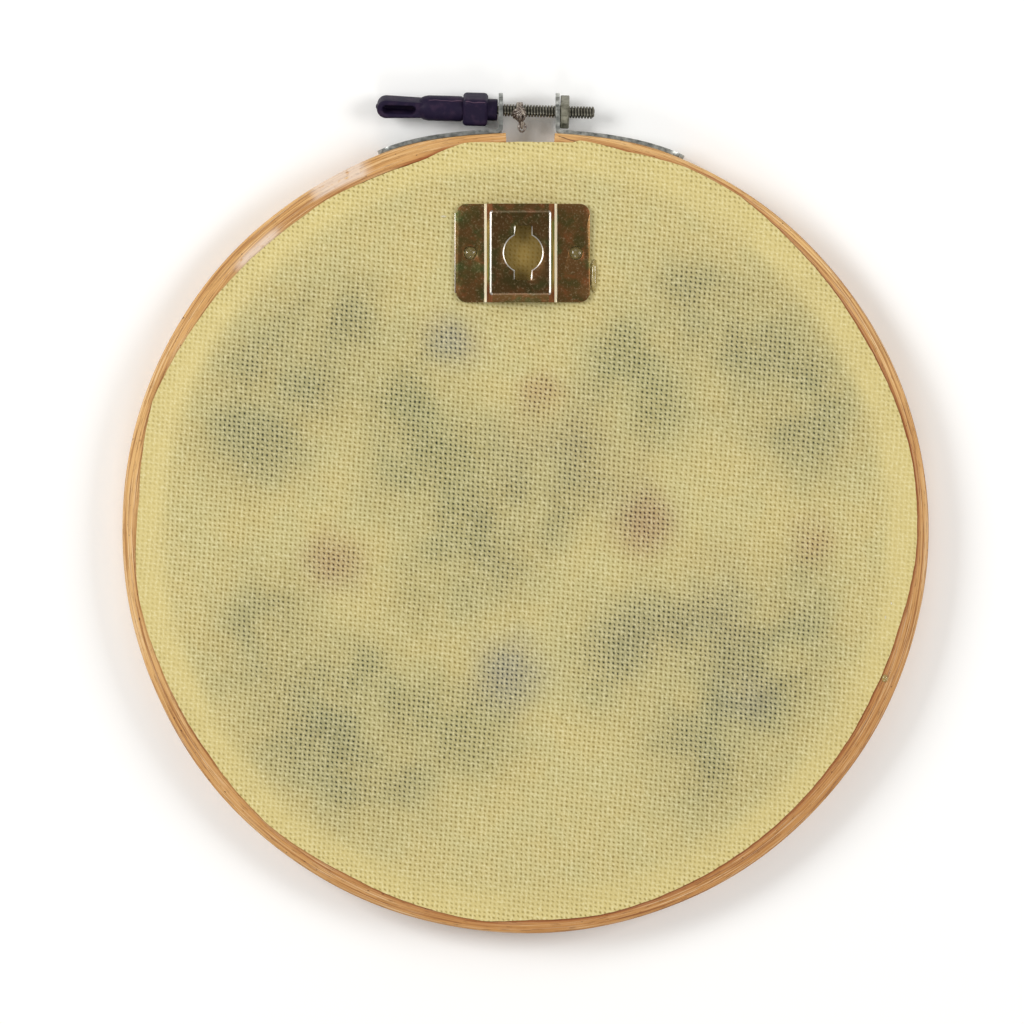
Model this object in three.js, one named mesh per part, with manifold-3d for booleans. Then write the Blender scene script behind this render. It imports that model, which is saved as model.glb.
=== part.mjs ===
// Embroidery hoop lying face down, its back up: two wooden rings with the stretched ground cloth
// between them, a non-woven disc glued over the back, a keyhole hanger plate and a screw clamp.
// Millimetres, +Z up. The hoop's front rim stands on Z = 0, and the clamp points to +Y.

import * as THREE from "three";
import { mergeVertices } from "three/addons/utils/BufferGeometryUtils.js";
import Module from "manifold-3d";

const wasm = await Module();
wasm.setup();

// Space left between pieces that touch
const FIT_GAP = 0.3;

// Wooden rings
const HOOP_RADIUS = 101.6;
const HOOP_DEPTH = 10;
const OUTER_RING_THICKNESS = 5.2;
const INNER_RING_THICKNESS = 5;
const RING_CHAMFER = 0.8;
const OUTER_RING_STEPS = 104;
const ROUND_STEPS = 72;

// Sides of holes and other small round forms, and steps of a rounded corner
const HOLE_SIDES = 16;
const BEAD_SIDES = 14;
const CORNER_STEPS = 5;
const SMALL_CORNER_STEPS = 3;
const KEYHOLE_STEPS = 10;
const WELD_DISTANCE = 1e-4;

// Gap of the split ring, between its two cut ends
const GAP_LEFT_X = -4.8;
const GAP_RIGHT_X = 7.4;

// The outer face is planed down towards the cut ends, where the straps lie on it
const END_THINNING = 1.6;
const THINNED_ARC = 17;

// Ground cloth, set back inside the front rim
const CLOTH_THICKNESS = 1;
const FRONT_RECESS = 1.6;
const SKIRT_TOP = 9.2;
const CLOTH_FOLD_RADIUS = 1.4;

// Back cloth: where the scissors turned, with the radius of the edge there
const CUT_CORNERS = [
  { angle: -4, radius: 98.6 },
  { angle: 10, radius: 99.1 },
  { angle: 30, radius: 98.1 },
  { angle: 47, radius: 98.7 },
  { angle: 57, radius: 100 },
  { angle: 66, radius: 100 },
  { angle: 75, radius: 98.7 },
  { angle: 81, radius: 99.2 },
  { angle: 87, radius: 97.9 },
  { angle: 99, radius: 98.8 },
  { angle: 109, radius: 96.9 },
  { angle: 124, radius: 97.5 },
  { angle: 133, radius: 97 },
  { angle: 149, radius: 98 },
  { angle: 161, radius: 99.3 },
  { angle: 175, radius: 97.5 },
  { angle: 190, radius: 98.8 },
  { angle: 201, radius: 98 },
  { angle: 215, radius: 97.6 },
  { angle: 229, radius: 98.4 },
  { angle: 243, radius: 97.6 },
  { angle: 264, radius: 99 },
  { angle: 271, radius: 98.1 },
  { angle: 281, radius: 98.7 },
  { angle: 303, radius: 97.7 },
  { angle: 319, radius: 97.2 },
  { angle: 335, radius: 96.8 },
  { angle: 346, radius: 97.3 },
];

// Soft ridges and troughs of the back cloth, each running in from the inner ring
const PUCKERS = [
  { angle: 18, inner: 52, halfWidth: 13, height: 0.55 },
  { angle: 47, inner: 60, halfWidth: 10, height: -0.5 },
  { angle: 141, inner: 56, halfWidth: 12, height: 0.6 },
  { angle: 168, inner: 48, halfWidth: 11, height: -0.55 },
  { angle: 192, inner: 58, halfWidth: 9, height: 0.5 },
  { angle: 226, inner: 44, halfWidth: 14, height: 0.6 },
  { angle: 258, inner: 54, halfWidth: 10, height: -0.5 },
  { angle: 287, inner: 46, halfWidth: 12, height: 0.55 },
  { angle: 322, inner: 56, halfWidth: 11, height: -0.6 },
];
const BACK_SAG = 1.1;
const BACK_SAG_RADIUS = 70;
const BACK_SAG_Y = -22;
const BACK_SECTORS = 84;
const BACK_CENTRE_RING = 8;
const BACK_RINGS = [BACK_CENTRE_RING, 24, 40, 54, 66, 76, 84, 90];

// Hanger plate: a pressed sheet with two flanges and a raised bridge between them
const PLATE_X = -0.5;
const PLATE_Y = 69.75;
const PLATE_WIDTH = 33.6;
const PLATE_HEIGHT = 24.8;
const PLATE_SHEET = 0.9;
const PLATE_CORNER = 2.6;
const PLATE_TAB = 0.6;
const PLATE_TAB_HEIGHT = 20.2;
const BRIDGE_RISE = 2.9;
const BRIDGE_FOOT_LEFT = -9.7;
const BRIDGE_TOP_LEFT = -7.7;
const BRIDGE_TOP_RIGHT = 6.7;
const BRIDGE_FOOT_RIGHT = 8.7;
const BRIDGE_WALL_LEAN = 0.5;
const LIP_LENGTH = 2.3;
const LIP_DROP = 1.5;
const LIP_SIDE_LAP = 0.3;
const KEYHOLE_RADIUS = 4.85;
const KEYHOLE_SLOT_WIDTH = 4.4;
const KEYHOLE_HEIGHT = 13.8;
const RIVET_X = 13.3;
const RIVET_HOLE_RADIUS = 1.7;
const RIVET_CROWN = 0.6;
const PLATE_FLAT_MARGIN = 10;
const PLATE_FLAT_FADE = 12;

// Glue squeezed out at the plate's right edge
const BEAD_Y = -5.6;
const BEAD_WIDTH = 1.8;
const BEAD_LENGTH = 8.6;
const BEAD_HEIGHT = 0.9;

// Clamp straps
const STRAP_SHEET = 1.05;
const STRAP_WIDTH = 8;
const STRAP_BEND = 1.3;
const STRAP_CHORD_STEP = 3;
const EAR_TIP_Y = 110.4;
const EAR_LEFT_X = -6.12;
const EAR_RIGHT_X = 8.22;
const STRAP_LEFT_END = 111.3;
const STRAP_RIGHT_END = 66.9;
const EAR_HOLE_RADIUS = 2.05;

// Clamp screw: its axis leans a little, with the handle's end further out
const SCREW_Y = 105.9;
const SCREW_LEAN = 1.7;
const SCREW_RADIUS = 1.55;
const SCREW_ROOT_RADIUS = 1.25;
const SCREW_PITCH = 0.742;
const SCREW_START = -21.6;
const SCREW_THREAD_START = -5.4;
const SCREW_END = 17.5;
const SCREW_SIDES = 10;

// Square nut outside the right ear
const NUT_SIDE = 6.6;
const NUT_THICKNESS = 2.1;
const NUT_CORNER = 0.4;
const NUT_TURN = 24;

// Moulded handle: neck, square collar, round body and a flat eye with a slot
const NECK_RADIUS = 2.75;
const COLLAR_START = -15.7;
const COLLAR_END = -9.4;
const COLLAR_SIDE = 6.8;
const COLLAR_CORNER = 1.6;
const COLLAR_BEVEL = 0.5;
const BODY_RADIUS = 3.05;
const BODY_START = -26;
const BODY_ROUNDING = 1.1;
const BORE_DEPTH = 15;
const EYE_START = -37.5;
const EYE_HALF_WIDTH = 2.85;
const EYE_ROOT_HALF_WIDTH = 2.5;
const EYE_ROOT_OVERLAP = 1.5;
const EYE_THICKNESS = 4.4;
const EYE_BEVEL = 0.7;
const SLOT_START = -36;
const SLOT_END = -27.4;
const SLOT_HALF_WIDTH = 1.05;
const HANDLE_TURN = 20;

// Thread tied round the screw between the ears: a loop, a knot and a short tail
const KNOT_X = -1.4;
const KNOT_CORD = 0.5;
const KNOT_RADIUS = 1.7;
const KNOT_DROP = 1;
const KNOT_RISE = 2.3;
const TAIL_RADIUS = 0.75;
const THREAD_SIDES = 7;
const TAIL_END = { x: 0.2, y: -4.9, z: 1.2 };

// Sizes that follow from those above
const RING_INNER_RADIUS = HOOP_RADIUS - OUTER_RING_THICKNESS;
const SKIRT_RADIUS = RING_INNER_RADIUS - FIT_GAP;
const INNER_HOOP_RADIUS = SKIRT_RADIUS - CLOTH_THICKNESS - FIT_GAP;
const INNER_HOOP_BORE = INNER_HOOP_RADIUS - INNER_RING_THICKNESS;
const INNER_HOOP_FRONT = FRONT_RECESS + CLOTH_THICKNESS + FIT_GAP;
const BACK_UNDERSIDE = HOOP_DEPTH + FIT_GAP;
const BACK_TOP = BACK_UNDERSIDE + CLOTH_THICKNESS;
const PLATE_Z = BACK_TOP + FIT_GAP;
const SCREW_Z = HOOP_DEPTH / 2;
const SCREW_CLEAR_RADIUS = SCREW_RADIUS + FIT_GAP;
const NECK_END = EAR_LEFT_X - STRAP_SHEET / 2 - FIT_GAP;
const NUT_START = EAR_RIGHT_X + STRAP_SHEET / 2 + FIT_GAP;
const HOOP_CENTRE_Y = (HOOP_RADIUS - EAR_TIP_Y) / 2;

const radians = THREE.MathUtils.degToRad;
const degrees = THREE.MathUtils.radToDeg;
const { lerp, smoothstep } = THREE.MathUtils;

// Point at an angle and radius round the hoop's axis
function polar(angle, radius, z) {
  return new THREE.Vector3(radius * Math.cos(radians(angle)), radius * Math.sin(radians(angle)), z);
}

// Position-only copy with shared vertices and no collapsed triangles
function welded(geometry) {
  const bare = new THREE.BufferGeometry();
  bare.setAttribute("position", geometry.getAttribute("position").clone());
  bare.setIndex(geometry.index);
  const merged = mergeVertices(bare, WELD_DISTANCE);
  const corners = merged.index.array;
  const kept = [];
  for (let i = 0; i < corners.length; i += 3) {
    const [a, b, c] = [corners[i], corners[i + 1], corners[i + 2]];
    if (a !== b && b !== c && c !== a) {
      kept.push(a, b, c);
    }
  }
  merged.setIndex(kept);
  return merged;
}

// The same body with its faces pointing out
function facingOut(geometry) {
  const points = geometry.getAttribute("position");
  const corners = geometry.index.array;
  const [a, b, c] = [new THREE.Vector3(), new THREE.Vector3(), new THREE.Vector3()];
  let volume = 0;
  for (let i = 0; i < corners.length; i += 3) {
    a.fromBufferAttribute(points, corners[i]);
    b.fromBufferAttribute(points, corners[i + 1]);
    c.fromBufferAttribute(points, corners[i + 2]);
    volume += a.dot(b.cross(c));
  }
  if (volume < 0) {
    geometry.setIndex(Array.from(corners).reverse());
  }
  return geometry;
}

function solidFrom(geometry) {
  const body = facingOut(welded(geometry));
  const vertProperties = new Float32Array(body.getAttribute("position").array);
  const triVerts = new Uint32Array(body.index.array);
  return new wasm.Manifold(new wasm.Mesh({ numProp: 3, vertProperties, triVerts }));
}

function geometryFrom(solid) {
  const { vertProperties, triVerts } = solid.getMesh();
  const geometry = new THREE.BufferGeometry();
  geometry.setAttribute("position", new THREE.BufferAttribute(new Float32Array(vertProperties), 3));
  geometry.setIndex(new THREE.BufferAttribute(new Uint32Array(triVerts), 1));
  return geometry;
}

// Closed body through loops of equally many points; open ends are capped
function loft(loops) {
  const count = loops[0].length;
  const faces = [];
  for (let i = 0; i < loops.length - 1; i++) {
    for (let j = 0; j < count; j++) {
      const here = i * count;
      const beside = (j + 1) % count;
      faces.push(here + j, here + beside, here + count + j);
      faces.push(here + beside, here + count + beside, here + count + j);
    }
  }
  const last = (loops.length - 1) * count;
  for (let j = 1; j < count - 1; j++) {
    faces.push(0, j + 1, j);
    faces.push(last, last + j, last + j + 1);
  }
  const geometry = new THREE.BufferGeometry().setFromPoints(loops.flat());
  geometry.setIndex(faces);
  return facingOut(geometry);
}

// Body turned about the Z axis from a closed profile of [radius, z] rows
function turned(profile, steps) {
  const geometry = new THREE.LatheGeometry(
    profile.map(([radius, z]) => new THREE.Vector2(radius, z)),
    steps,
  );
  return facingOut(welded(geometry.rotateX(Math.PI / 2)));
}

// Body turned about the X axis from a profile of [x, radius] rows that ends on the axis
function turnedAlongX(profile, sides) {
  const geometry = new THREE.LatheGeometry(
    profile.map(([x, radius]) => new THREE.Vector2(radius, x)),
    sides,
  );
  return facingOut(welded(geometry.rotateZ(-Math.PI / 2)));
}

function rodAlongX(radius, start, end, sides) {
  const profile = [[start, 0], [start, radius], [end, radius], [end, 0]];
  return turnedAlongX(profile, sides);
}

// Chamfered rectangle of [radius, z] points
function ringSection(inner, outer, bottom, top) {
  const chamfer = RING_CHAMFER;
  return [
    [inner + chamfer, bottom],
    [outer - chamfer, bottom],
    [outer, bottom + chamfer],
    [outer, top - chamfer],
    [outer - chamfer, top],
    [inner + chamfer, top],
    [inner, top - chamfer],
    [inner, bottom + chamfer],
  ];
}

// Angles of the outer ring's two cut ends
const LEFT_END_ANGLE = 90 + degrees(Math.asin(-GAP_LEFT_X / (HOOP_RADIUS - OUTER_RING_THICKNESS / 2)));
const RIGHT_END_ANGLE = 90 - degrees(Math.asin(GAP_RIGHT_X / (HOOP_RADIUS - OUTER_RING_THICKNESS / 2)));

// Outer face of the split ring, planed down near its ends
function ringOuterRadius(angle) {
  const fromEnd = Math.min(Math.abs(angle - LEFT_END_ANGLE), Math.abs(angle - RIGHT_END_ANGLE));
  const beside = angle > RIGHT_END_ANGLE && angle < LEFT_END_ANGLE ? 0 : fromEnd;
  return HOOP_RADIUS - END_THINNING * (1 - smoothstep(beside, 0, THINNED_ARC));
}

function outerHoop() {
  const loops = [];
  for (let i = 0; i <= OUTER_RING_STEPS; i++) {
    const angle = lerp(LEFT_END_ANGLE, RIGHT_END_ANGLE + 360, i / OUTER_RING_STEPS);
    const outer = ringOuterRadius(angle > 270 ? angle - 360 : angle);
    const section = ringSection(RING_INNER_RADIUS, outer, 0, HOOP_DEPTH);
    loops.push(section.map(([radius, z]) => polar(angle, radius, z)));
  }
  return loft(loops);
}

function innerHoop() {
  const section = ringSection(INNER_HOOP_BORE, INNER_HOOP_RADIUS, INNER_HOOP_FRONT, HOOP_DEPTH);
  return turned([...section, section[0]], ROUND_STEPS);
}

// Ground cloth: a taut disc whose edge turns up between the rings
function frontCloth() {
  const back = FRONT_RECESS + CLOTH_THICKNESS;
  const fold = CLOTH_FOLD_RADIUS;
  const inFold = fold - CLOTH_THICKNESS;
  const diagonal = 1 - Math.SQRT1_2;
  const profile = [
    [0, FRONT_RECESS],
    [SKIRT_RADIUS - fold, FRONT_RECESS],
    [SKIRT_RADIUS - fold * diagonal, FRONT_RECESS + fold * diagonal],
    [SKIRT_RADIUS, FRONT_RECESS + fold],
    [SKIRT_RADIUS, SKIRT_TOP],
    [SKIRT_RADIUS - CLOTH_THICKNESS, SKIRT_TOP],
    [SKIRT_RADIUS - CLOTH_THICKNESS, back + inFold],
    [SKIRT_RADIUS - CLOTH_THICKNESS - inFold, back],
    [0, back],
  ];
  return turned(profile, ROUND_STEPS);
}

// Edge of the back cloth, easing from one cut corner to the next
function backEdgeRadius(angle) {
  const turn = THREE.MathUtils.euclideanModulo(angle - CUT_CORNERS[0].angle, 360) + CUT_CORNERS[0].angle;
  const closing = { angle: CUT_CORNERS[0].angle + 360, radius: CUT_CORNERS[0].radius };
  const corners = [...CUT_CORNERS, closing];
  const after = corners.findIndex((corner) => corner.angle > turn);
  const [from, to] = [corners[after - 1], corners[after]];
  return lerp(from.radius, to.radius, (turn - from.angle) / (to.angle - from.angle));
}

// Share of the cloth's unevenness at a point: none where the hanger plate holds it flat
function clearOfPlate(x, y) {
  const across = Math.max(Math.abs(x - PLATE_X) - PLATE_WIDTH / 2, 0);
  const along = Math.max(Math.abs(y - PLATE_Y) - PLATE_HEIGHT / 2, 0);
  const distance = Math.hypot(across, along);
  return smoothstep(distance, PLATE_FLAT_MARGIN, PLATE_FLAT_MARGIN + PLATE_FLAT_FADE);
}

// Height of the back cloth over its flat place: a shallow sag, and puckers near the inner ring
function backRelief(angle, radius) {
  const { x, y } = polar(angle, radius, 0);
  const sagReach = Math.min(Math.hypot(x, y - BACK_SAG_Y) / BACK_SAG_RADIUS, 1);
  let relief = -BACK_SAG * (1 - sagReach ** 2) ** 2;
  for (const pucker of PUCKERS) {
    const turn = THREE.MathUtils.euclideanModulo(angle - pucker.angle + 180, 360) - 180;
    const across = Math.min(Math.abs(turn) / pucker.halfWidth, 1);
    const along = THREE.MathUtils.clamp((radius - pucker.inner) / (INNER_HOOP_BORE - pucker.inner), 0, 1);
    relief += pucker.height * (1 - across ** 2) ** 2 * Math.sin(Math.PI * along);
  }
  return relief * clearOfPlate(x, y);
}

function backLoop(z, radiusAt) {
  const loop = [];
  for (let i = 0; i < BACK_SECTORS; i++) {
    const angle = (360 * i) / BACK_SECTORS;
    const radius = radiusAt(angle);
    loop.push(polar(angle, radius, z + backRelief(angle, radius)));
  }
  return loop;
}

function backCloth() {
  const rings = [...BACK_RINGS.map((radius) => () => radius), backEdgeRadius];
  const upper = rings.map((radiusAt) => backLoop(BACK_TOP, radiusAt));
  const lower = rings.map((radiusAt) => backLoop(BACK_UNDERSIDE, radiusAt));
  return loft([...upper, ...lower.reverse()]);
}

// Side view of the pressed sheet, extruded over the plate's height
function plateSheet() {
  const half = PLATE_WIDTH / 2 + PLATE_TAB;
  const top = BRIDGE_RISE + PLATE_SHEET;
  const lean = BRIDGE_WALL_LEAN;
  const side = new THREE.Shape([
    new THREE.Vector2(-half, 0),
    new THREE.Vector2(BRIDGE_FOOT_LEFT + lean, 0),
    new THREE.Vector2(BRIDGE_TOP_LEFT + lean, BRIDGE_RISE),
    new THREE.Vector2(BRIDGE_TOP_RIGHT - lean, BRIDGE_RISE),
    new THREE.Vector2(BRIDGE_FOOT_RIGHT - lean, 0),
    new THREE.Vector2(half, 0),
    new THREE.Vector2(half, PLATE_SHEET),
    new THREE.Vector2(BRIDGE_FOOT_RIGHT, PLATE_SHEET),
    new THREE.Vector2(BRIDGE_TOP_RIGHT, top),
    new THREE.Vector2(BRIDGE_TOP_LEFT, top),
    new THREE.Vector2(BRIDGE_FOOT_LEFT, PLATE_SHEET),
    new THREE.Vector2(-half, PLATE_SHEET),
  ]);
  const geometry = new THREE.ExtrudeGeometry(side, { depth: PLATE_HEIGHT, bevelEnabled: false });
  geometry.rotateX(Math.PI / 2);
  geometry.translate(0, PLATE_HEIGHT / 2, 0);
  return solidFrom(geometry);
}

// Upright prism over an outline in plan, from one height to another
function prism(shape, bottom, top, curveSegments) {
  const settings = { depth: top - bottom, bevelEnabled: false, curveSegments };
  const geometry = new THREE.ExtrudeGeometry(shape, settings);
  geometry.translate(0, 0, bottom);
  return solidFrom(geometry);
}

// Plan of the plate: rounded corners, and a shallow tab along the left edge
function plateOutline() {
  const [halfWidth, halfHeight] = [PLATE_WIDTH / 2, PLATE_HEIGHT / 2];
  const [halfTab, corner] = [PLATE_TAB_HEIGHT / 2, PLATE_CORNER];
  const quarter = Math.PI / 2;
  const outline = new THREE.Shape();
  outline.moveTo(-halfWidth - PLATE_TAB, halfTab);
  outline.lineTo(-halfWidth - PLATE_TAB, -halfTab);
  outline.lineTo(-halfWidth, -halfTab);
  outline.absarc(corner - halfWidth, corner - halfHeight, corner, 2 * quarter, 3 * quarter);
  outline.absarc(halfWidth - corner, corner - halfHeight, corner, 3 * quarter, 4 * quarter);
  outline.absarc(halfWidth - corner, halfHeight - corner, corner, 0, quarter);
  outline.absarc(corner - halfWidth, halfHeight - corner, corner, quarter, 2 * quarter);
  outline.lineTo(-halfWidth, halfTab);
  return outline;
}

// Keyhole that works both ways up: a round hole with a square-ended slot above and below it
function keyholeOutline() {
  const [halfSlot, end] = [KEYHOLE_SLOT_WIDTH / 2, KEYHOLE_HEIGHT / 2];
  const meet = Math.acos(halfSlot / KEYHOLE_RADIUS);
  const outline = new THREE.Shape();
  outline.absarc(0, 0, KEYHOLE_RADIUS, -meet, meet);
  outline.lineTo(halfSlot, end);
  outline.lineTo(-halfSlot, end);
  outline.absarc(0, 0, KEYHOLE_RADIUS, Math.PI - meet, Math.PI + meet);
  outline.lineTo(-halfSlot, -end);
  outline.lineTo(halfSlot, -end);
  return outline;
}

function discOutline(x, y, radius) {
  const outline = new THREE.Shape();
  outline.absarc(x, y, radius, 0, 2 * Math.PI);
  return outline;
}

function rectangleOutline(left, right, bottom, top) {
  return new THREE.Shape([
    new THREE.Vector2(left, bottom),
    new THREE.Vector2(right, bottom),
    new THREE.Vector2(right, top),
    new THREE.Vector2(left, top),
  ]);
}

// Lip bent down from the bridge's upper or lower edge
function bridgeLip(sign) {
  const [crease, edge] = [PLATE_HEIGHT / 2 - LIP_LENGTH, PLATE_HEIGHT / 2];
  const [left, right] = [BRIDGE_TOP_LEFT - LIP_SIDE_LAP, BRIDGE_TOP_RIGHT + LIP_SIDE_LAP];
  const section = (x) => [
    new THREE.Vector3(x, sign * (crease - FIT_GAP), BRIDGE_RISE),
    new THREE.Vector3(x, sign * crease, BRIDGE_RISE),
    new THREE.Vector3(x, sign * edge, BRIDGE_RISE - LIP_DROP),
    new THREE.Vector3(x, sign * edge, BRIDGE_RISE - LIP_DROP + PLATE_SHEET),
    new THREE.Vector3(x, sign * crease, BRIDGE_RISE + PLATE_SHEET),
    new THREE.Vector3(x, sign * (crease - FIT_GAP), BRIDGE_RISE + PLATE_SHEET),
  ];
  return solidFrom(loft([section(left), section(right)]));
}

function hangerPlate() {
  const above = BRIDGE_RISE + 2 * PLATE_SHEET;
  const crease = PLATE_HEIGHT / 2 - LIP_LENGTH;
  let plate = plateSheet().intersect(prism(plateOutline(), -PLATE_SHEET, above, CORNER_STEPS));
  for (const sign of [-1, 1]) {
    const [low, high] = [sign * crease, sign * PLATE_HEIGHT].sort((a, b) => a - b);
    const flat = rectangleOutline(BRIDGE_TOP_LEFT, BRIDGE_TOP_RIGHT, low, high);
    const rivetHole = discOutline(sign * RIVET_X, 0, RIVET_HOLE_RADIUS);
    plate = plate.subtract(prism(flat, PLATE_SHEET, above, CORNER_STEPS));
    plate = plate.subtract(prism(rivetHole, -PLATE_SHEET, above, HOLE_SIDES));
    plate = plate.add(bridgeLip(sign));
  }
  return geometryFrom(plate.subtract(prism(keyholeOutline(), -PLATE_SHEET, above, KEYHOLE_STEPS)));
}

// Set glue standing in a flange hole, with a domed top
function glueRivet() {
  const radius = RIVET_HOLE_RADIUS - FIT_GAP;
  const profile = [
    [0, 0],
    [radius, 0],
    [radius, PLATE_SHEET],
    [radius * Math.SQRT1_2, PLATE_SHEET + RIVET_CROWN * Math.SQRT1_2],
    [0, PLATE_SHEET + RIVET_CROWN],
  ];
  return turned(profile, HOLE_SIDES);
}

// Long lens of glue, flat below
function glueBead() {
  const profile = [[0, 0]];
  for (const turn of [0, 30, 60, 90]) {
    profile.push([0.5 * Math.cos(radians(turn)), Math.sin(radians(turn))]);
  }
  return turned(profile, BEAD_SIDES).scale(BEAD_WIDTH, BEAD_LENGTH, BEAD_HEIGHT);
}

// Centre line of a strap in plan: down the ear, round the bend and along the hoop
function strapLine(earX, endAngle) {
  const side = Math.sign(earX);
  const lie = (angle) => ringOuterRadius(angle) + FIT_GAP + STRAP_SHEET / 2;
  const startX = earX + side * STRAP_BEND;
  const startAngle = degrees(Math.acos(startX / lie(RIGHT_END_ANGLE)));
  const foot = polar(startAngle, lie(startAngle), 0);
  const tip = new THREE.Vector3(earX, EAR_TIP_Y, 0);
  const bendTop = new THREE.Vector3(earX, foot.y + STRAP_BEND, 0);
  const corner = new THREE.Vector3(earX, foot.y, 0);
  const line = new THREE.CurvePath();
  line.add(new THREE.LineCurve3(tip, bendTop));
  line.add(new THREE.QuadraticBezierCurve3(bendTop, corner, foot));
  const arc = [];
  const spans = Math.round((radians(Math.abs(endAngle - startAngle)) * HOOP_RADIUS) / STRAP_CHORD_STEP);
  for (let i = 0; i <= spans; i++) {
    const angle = lerp(startAngle, endAngle, i / spans);
    arc.push(polar(angle, lie(angle), 0));
  }
  line.add(new THREE.CatmullRomCurve3(arc));
  return line;
}

// Distances along a strap at which it gets a section, with the half width there; both ends are round
function strapStations(length) {
  const radius = STRAP_WIDTH / 2;
  const stations = [];
  const quarterTurns = [14, 32, 50, 70, 90];
  for (const turn of quarterTurns) {
    stations.push({ at: radius * (1 - Math.cos(radians(turn))), half: radius * Math.sin(radians(turn)) });
  }
  for (let at = radius + 1; at < length - radius; at += 1) {
    stations.push({ at, half: radius });
  }
  for (const turn of quarterTurns.toReversed()) {
    const at = length - radius * (1 - Math.cos(radians(turn)));
    stations.push({ at, half: radius * Math.sin(radians(turn)) });
  }
  return stations;
}

function strap(earX, endAngle) {
  const line = strapLine(earX, endAngle);
  const length = line.getLength();
  const loops = strapStations(length).map(({ at, half }) => {
    const point = line.getPointAt(at / length);
    const tangent = line.getTangentAt(at / length);
    const out = new THREE.Vector3(-tangent.y, tangent.x, 0).multiplyScalar(STRAP_SHEET / 2);
    const face = (sign, z) => point.clone().addScaledVector(out, sign).setZ(z);
    return [
      face(1, SCREW_Z - half),
      face(1, SCREW_Z + half),
      face(-1, SCREW_Z + half),
      face(-1, SCREW_Z - half),
    ];
  });
  const hole = rodAlongX(EAR_HOLE_RADIUS, EAR_LEFT_X - STRAP_SHEET, EAR_RIGHT_X + STRAP_SHEET, HOLE_SIDES);
  hole.applyMatrix4(clamp.matrix);
  return geometryFrom(solidFrom(loft(loops)).subtract(solidFrom(hole)));
}

// Screw with its thread as rings at the real pitch
function screwRod() {
  const profile = [[SCREW_START, 0], [SCREW_START, SCREW_RADIUS], [SCREW_THREAD_START, SCREW_RADIUS]];
  for (let x = SCREW_THREAD_START; x < SCREW_END - 1.5 * SCREW_PITCH; x += SCREW_PITCH) {
    profile.push([x + SCREW_PITCH / 2, SCREW_ROOT_RADIUS]);
    profile.push([x + SCREW_PITCH, SCREW_RADIUS]);
  }
  profile.push([SCREW_END, SCREW_ROOT_RADIUS], [SCREW_END, 0]);
  return turnedAlongX(profile, SCREW_SIDES);
}

// Square with rounded corners, in plan round the origin
function roundedSquare(side, corner) {
  const centre = side / 2 - corner;
  const quarter = Math.PI / 2;
  const outline = new THREE.Shape();
  outline.absarc(centre, centre, corner, 0, quarter);
  outline.absarc(-centre, centre, corner, quarter, 2 * quarter);
  outline.absarc(-centre, -centre, corner, 2 * quarter, 3 * quarter);
  outline.absarc(centre, -centre, corner, 3 * quarter, 4 * quarter);
  return outline;
}

// Prism along X over a section that is drawn looking along the axis
function blockAlongX(shape, start, end, bevel) {
  const geometry = new THREE.ExtrudeGeometry(shape, {
    depth: end - start - 2 * bevel,
    bevelEnabled: bevel > 0,
    bevelThickness: bevel,
    bevelSize: bevel,
    bevelOffset: -bevel,
    bevelSegments: 1,
    curveSegments: SMALL_CORNER_STEPS,
  });
  geometry.rotateY(Math.PI / 2);
  geometry.translate(start + bevel, 0, 0);
  return solidFrom(geometry);
}

function clampNut() {
  const block = blockAlongX(roundedSquare(NUT_SIDE, NUT_CORNER), NUT_START, NUT_START + NUT_THICKNESS, 0);
  const bore = rodAlongX(SCREW_CLEAR_RADIUS, NUT_START - 1, NUT_START + NUT_THICKNESS + 1, HOLE_SIDES);
  return geometryFrom(block.subtract(solidFrom(bore)));
}

// Flat eye of the handle with its slot
function handleEye() {
  const [far, half, rootHalf] = [EYE_START + EYE_HALF_WIDTH, EYE_HALF_WIDTH, EYE_ROOT_HALF_WIDTH];
  const quarter = Math.PI / 2;
  const outline = new THREE.Shape();
  outline.moveTo(BODY_START + EYE_ROOT_OVERLAP, -rootHalf);
  outline.lineTo(BODY_START + EYE_ROOT_OVERLAP, rootHalf);
  outline.lineTo(far, half);
  outline.absarc(far, 0, half, quarter, 3 * quarter);
  const geometry = new THREE.ExtrudeGeometry(outline, {
    depth: EYE_THICKNESS - 2 * EYE_BEVEL,
    bevelThickness: EYE_BEVEL,
    bevelSize: EYE_BEVEL,
    bevelOffset: -EYE_BEVEL,
    bevelSegments: 1,
    curveSegments: CORNER_STEPS,
  });
  geometry.translate(0, 0, EYE_BEVEL - EYE_THICKNESS / 2);
  const slot = new THREE.Shape();
  slot.absarc(SLOT_START + SLOT_HALF_WIDTH, 0, SLOT_HALF_WIDTH, quarter, 3 * quarter);
  slot.absarc(SLOT_END - SLOT_HALF_WIDTH, 0, SLOT_HALF_WIDTH, 3 * quarter, 5 * quarter);
  return solidFrom(geometry).subtract(prism(slot, -EYE_THICKNESS, EYE_THICKNESS, CORNER_STEPS));
}

function screwHandle() {
  const stem = turnedAlongX(
    [
      [BODY_START, 0],
      [BODY_START, BODY_RADIUS - BODY_ROUNDING],
      [BODY_START + BODY_ROUNDING, BODY_RADIUS],
      [COLLAR_START + COLLAR_BEVEL, BODY_RADIUS],
      [COLLAR_END, NECK_RADIUS],
      [NECK_END, NECK_RADIUS],
      [NECK_END, 0],
    ],
    HOLE_SIDES,
  );
  const collarSection = roundedSquare(COLLAR_SIDE, COLLAR_CORNER);
  const collar = blockAlongX(collarSection, COLLAR_START, COLLAR_END, COLLAR_BEVEL);
  const bore = rodAlongX(SCREW_CLEAR_RADIUS, NECK_END - BORE_DEPTH, NECK_END + 1, HOLE_SIDES);
  return geometryFrom(solidFrom(stem).add(collar).add(handleEye()).subtract(solidFrom(bore)));
}

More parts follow.
